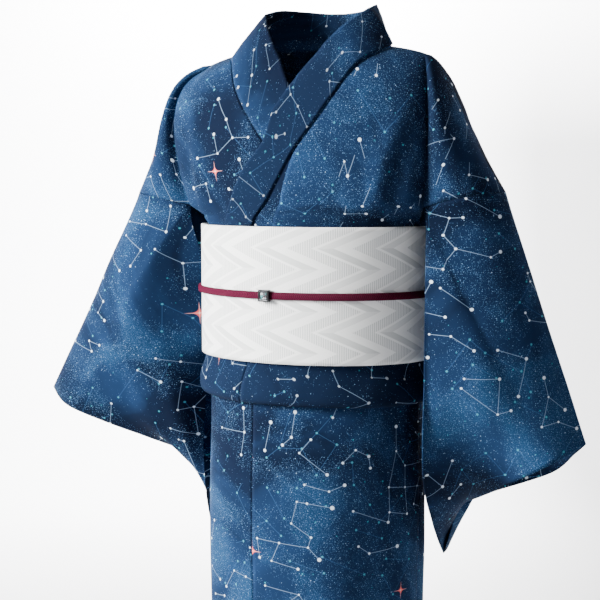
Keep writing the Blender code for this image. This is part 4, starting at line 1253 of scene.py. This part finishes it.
def clip_part(name, blocks, materials, node):
    """Joined blocks, each given by its size and middle, turned to lie on the cord."""
    mesh = bmesh.new()
    for size, middle, sunk in blocks:
        made = bmesh.ops.create_cube(mesh, size=1.0)["verts"]
        bmesh.ops.scale(mesh, vec=size, verts=made)
        bmesh.ops.translate(mesh, vec=middle, verts=made)
        if sunk:
            sides = {face for vert in made for face in vert.link_faces}
            front = min(sides, key=lambda face: face.calc_center_median().y)
            bmesh.ops.inset_region(mesh, faces=[front], thickness=CLIP_RIM)
            bmesh.ops.inset_region(mesh, faces=[front], thickness=0.0001, depth=-sunk)
    sharp = [edge for edge in mesh.edges if edge.calc_face_angle(0.0) > 1.0]
    bmesh.ops.bevel(mesh, geom=sharp, offset=CLIP_BEVEL, segments=2, affect="EDGES", profile=0.5, material=-1)
    mesh.normal_update()
    for face in mesh.faces:
        face.material_index = int(len(materials) > 1 and max(abs(part) for part in face.normal) < 0.98)
    angle = math.radians(CLIP_TURN)
    facing = math.atan2(math.sin(angle) / OBI_HALF_WIDTH, math.cos(angle) / OBI_HALF_DEPTH)
    bmesh.ops.rotate(mesh, verts=mesh.verts, matrix=Matrix.Rotation(facing, 3, "Z"))
    out = OBI_WALL / 2 + CORD_GAP + CORD_WALL
    width, depth = OBI_HALF_WIDTH + out, OBI_HALF_DEPTH + out
    bmesh.ops.translate(mesh, verts=mesh.verts,
                        vec=(width * math.sin(angle), -depth * math.cos(angle), CORD_MIDDLE))
    piece = make_object(name, mesh, materials, smooth=False)
    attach(piece, "root")
    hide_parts(node)


enamel, enamel_shader, start = new_material(
    "black_enamel", 0.30, Coat_Weight=0.10, Coat_Roughness=0.10, Specular_IOR_Level=0.25)
place = start.node("ShaderNodeTexCoord", output="Object")
cloudy = start.noise(place, 420.0, 2.0)
cloudy.span(0.4, 0.7).tint(colour(5, 6, 8), colour(14, 15, 18)).feed(enamel_shader, "Base Color")
silver, silver_shader, start = new_material("bright_edge", 0.30, Metallic=1.0)
place = start.node("ShaderNodeTexCoord", output="Object")
worn = start.noise(place, 900.0, 2.0)
worn.span(0.3, 0.7).tint(colour(70, 72, 76), colour(150, 152, 156)).feed(silver_shader, "Base Color")

lip = (CLIP_SIZE - CORD_WIDTH) / 2 - CLIP_PLAY
clip_part("obidome_tray", [
    ((CLIP_SIZE, CLIP_WALL, CLIP_SIZE), (0.0, -CLIP_WALL / 2 - SEAM, 0.0), TRAY_SUNK),
    ((CLIP_SIZE, CORD_WALL * 0.7, lip), (0.0, CORD_WALL * 0.35 - SEAM, (CLIP_SIZE - lip) / 2), 0.0),
    ((CLIP_SIZE, CORD_WALL * 0.7, lip), (0.0, CORD_WALL * 0.35 - SEAM, (lip - CLIP_SIZE) / 2), 0.0),
], [enamel, silver], "obidome_frame")

mosaic, mosaic_shader, start = new_material("glazed_mosaic", 0.20, Coat_Weight=0.35, Coat_Roughness=0.06)
place = start.node("ShaderNodeTexCoord", output="Object")
tiling = {"Vector": place, "Scale": 290.0, "Randomness": 0.7}
chips = start.node("ShaderNodeTexVoronoi", tiling, output="Color")
pick, _, bright = chips.split()
tile = (pick > 0.34).tint(colour(168, 178, 182), colour(44, 128, 130))
tile = (pick > 0.56).tint(tile, colour(44, 50, 60))
tile = (pick > 0.82).tint(tile, colour(160, 80, 98))
tile = (bright * 0.15).tint(tile, colour(214, 220, 222))
joint = start.node("ShaderNodeTexVoronoi", tiling, feature="DISTANCE_TO_EDGE")
tile = joint.within(0.05, 0.04).tint(tile, colour(26, 28, 32))
tile.feed(mosaic_shader, "Base Color")
joint.span(0.0, 0.12).emboss(mosaic_shader, 0.4, 0.0002)
inner = CLIP_SIZE - 2 * CLIP_RIM - 2 * CLIP_PLAY
clip_part("obidome_mosaic", [
    ((inner, MOSAIC_DEPTH, inner), (0.0, MOSAIC_RAISED - CLIP_WALL - SEAM, 0.0), 0.0),
], [mosaic], "obidome_face")


# The bow: a soft flat knot at centre back with a loop on each side, tied in the obi's own cloth.
KNOT_HALF, KNOT_DEPTH, KNOT_HEIGHT, KNOT_PINCH = 0.030, 0.022, 0.052, 0.10
BOW_LENGTH = 0.150
BOW_HEIGHT = 0.105
BOW_WALL = 0.002
LOOP_PUFF, LOOP_DROOP = 0.014, 0.030
BOW_Y = OBI_HALF_DEPTH + OBI_WALL / 2 + CORD_GAP * 2 + CORD_WALL + 0.0235
BOW_Z = OBI_TOP - OBI_HEIGHT * 0.45


def knot_point(share, x):
    angle = math.tau * share
    pinch = 1 - KNOT_PINCH * (1 - (x / KNOT_HALF) ** 2)
    return Vector((x, BOW_Y + KNOT_DEPTH * math.cos(angle), BOW_Z + KNOT_HEIGHT * pinch * math.sin(angle)))


knot_mesh = ring(64, [KNOT_HALF * (k / 8 - 1.0) for k in range(17)], knot_point)
scale_uv(knot_mesh, 0.24, 0.06)
knot_piece = finish_cloth(
    "cloth_obi_knot", knot_mesh, white_weave, wall=BOW_WALL, centre=Vector((0.0, BOW_Y, BOW_Z)))
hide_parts("obi_knot")
for side, name in ((1, "left"), (-1, "right")):
    def loop_point(share, height, side=side):
        angle = math.tau * share
        out = 0.5 - 0.5 * math.cos(angle)
        x = KNOT_HALF + 0.0012 + BOW_LENGTH * out
        half = BOW_HEIGHT / 2 * (0.72 + 0.28 * min(1.0, out * 2))
        y = BOW_Y + LOOP_PUFF * math.sin(angle) + 0.002 * math.sin(height * 5)
        return Vector((side * x, y, BOW_Z + height * half - LOOP_DROOP * out * out))

    loop_mesh = ring(80, [k / 8 - 1.0 for k in range(17)], loop_point)
    scale_uv(loop_mesh, 0.31, BOW_HEIGHT)
    loop_piece = finish_cloth(
        f"cloth_bow_{name}", loop_mesh, white_weave, wall=BOW_WALL, centre=Vector((side * 0.1, BOW_Y, BOW_Z)))
    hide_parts(f"bow_loop_{name}")
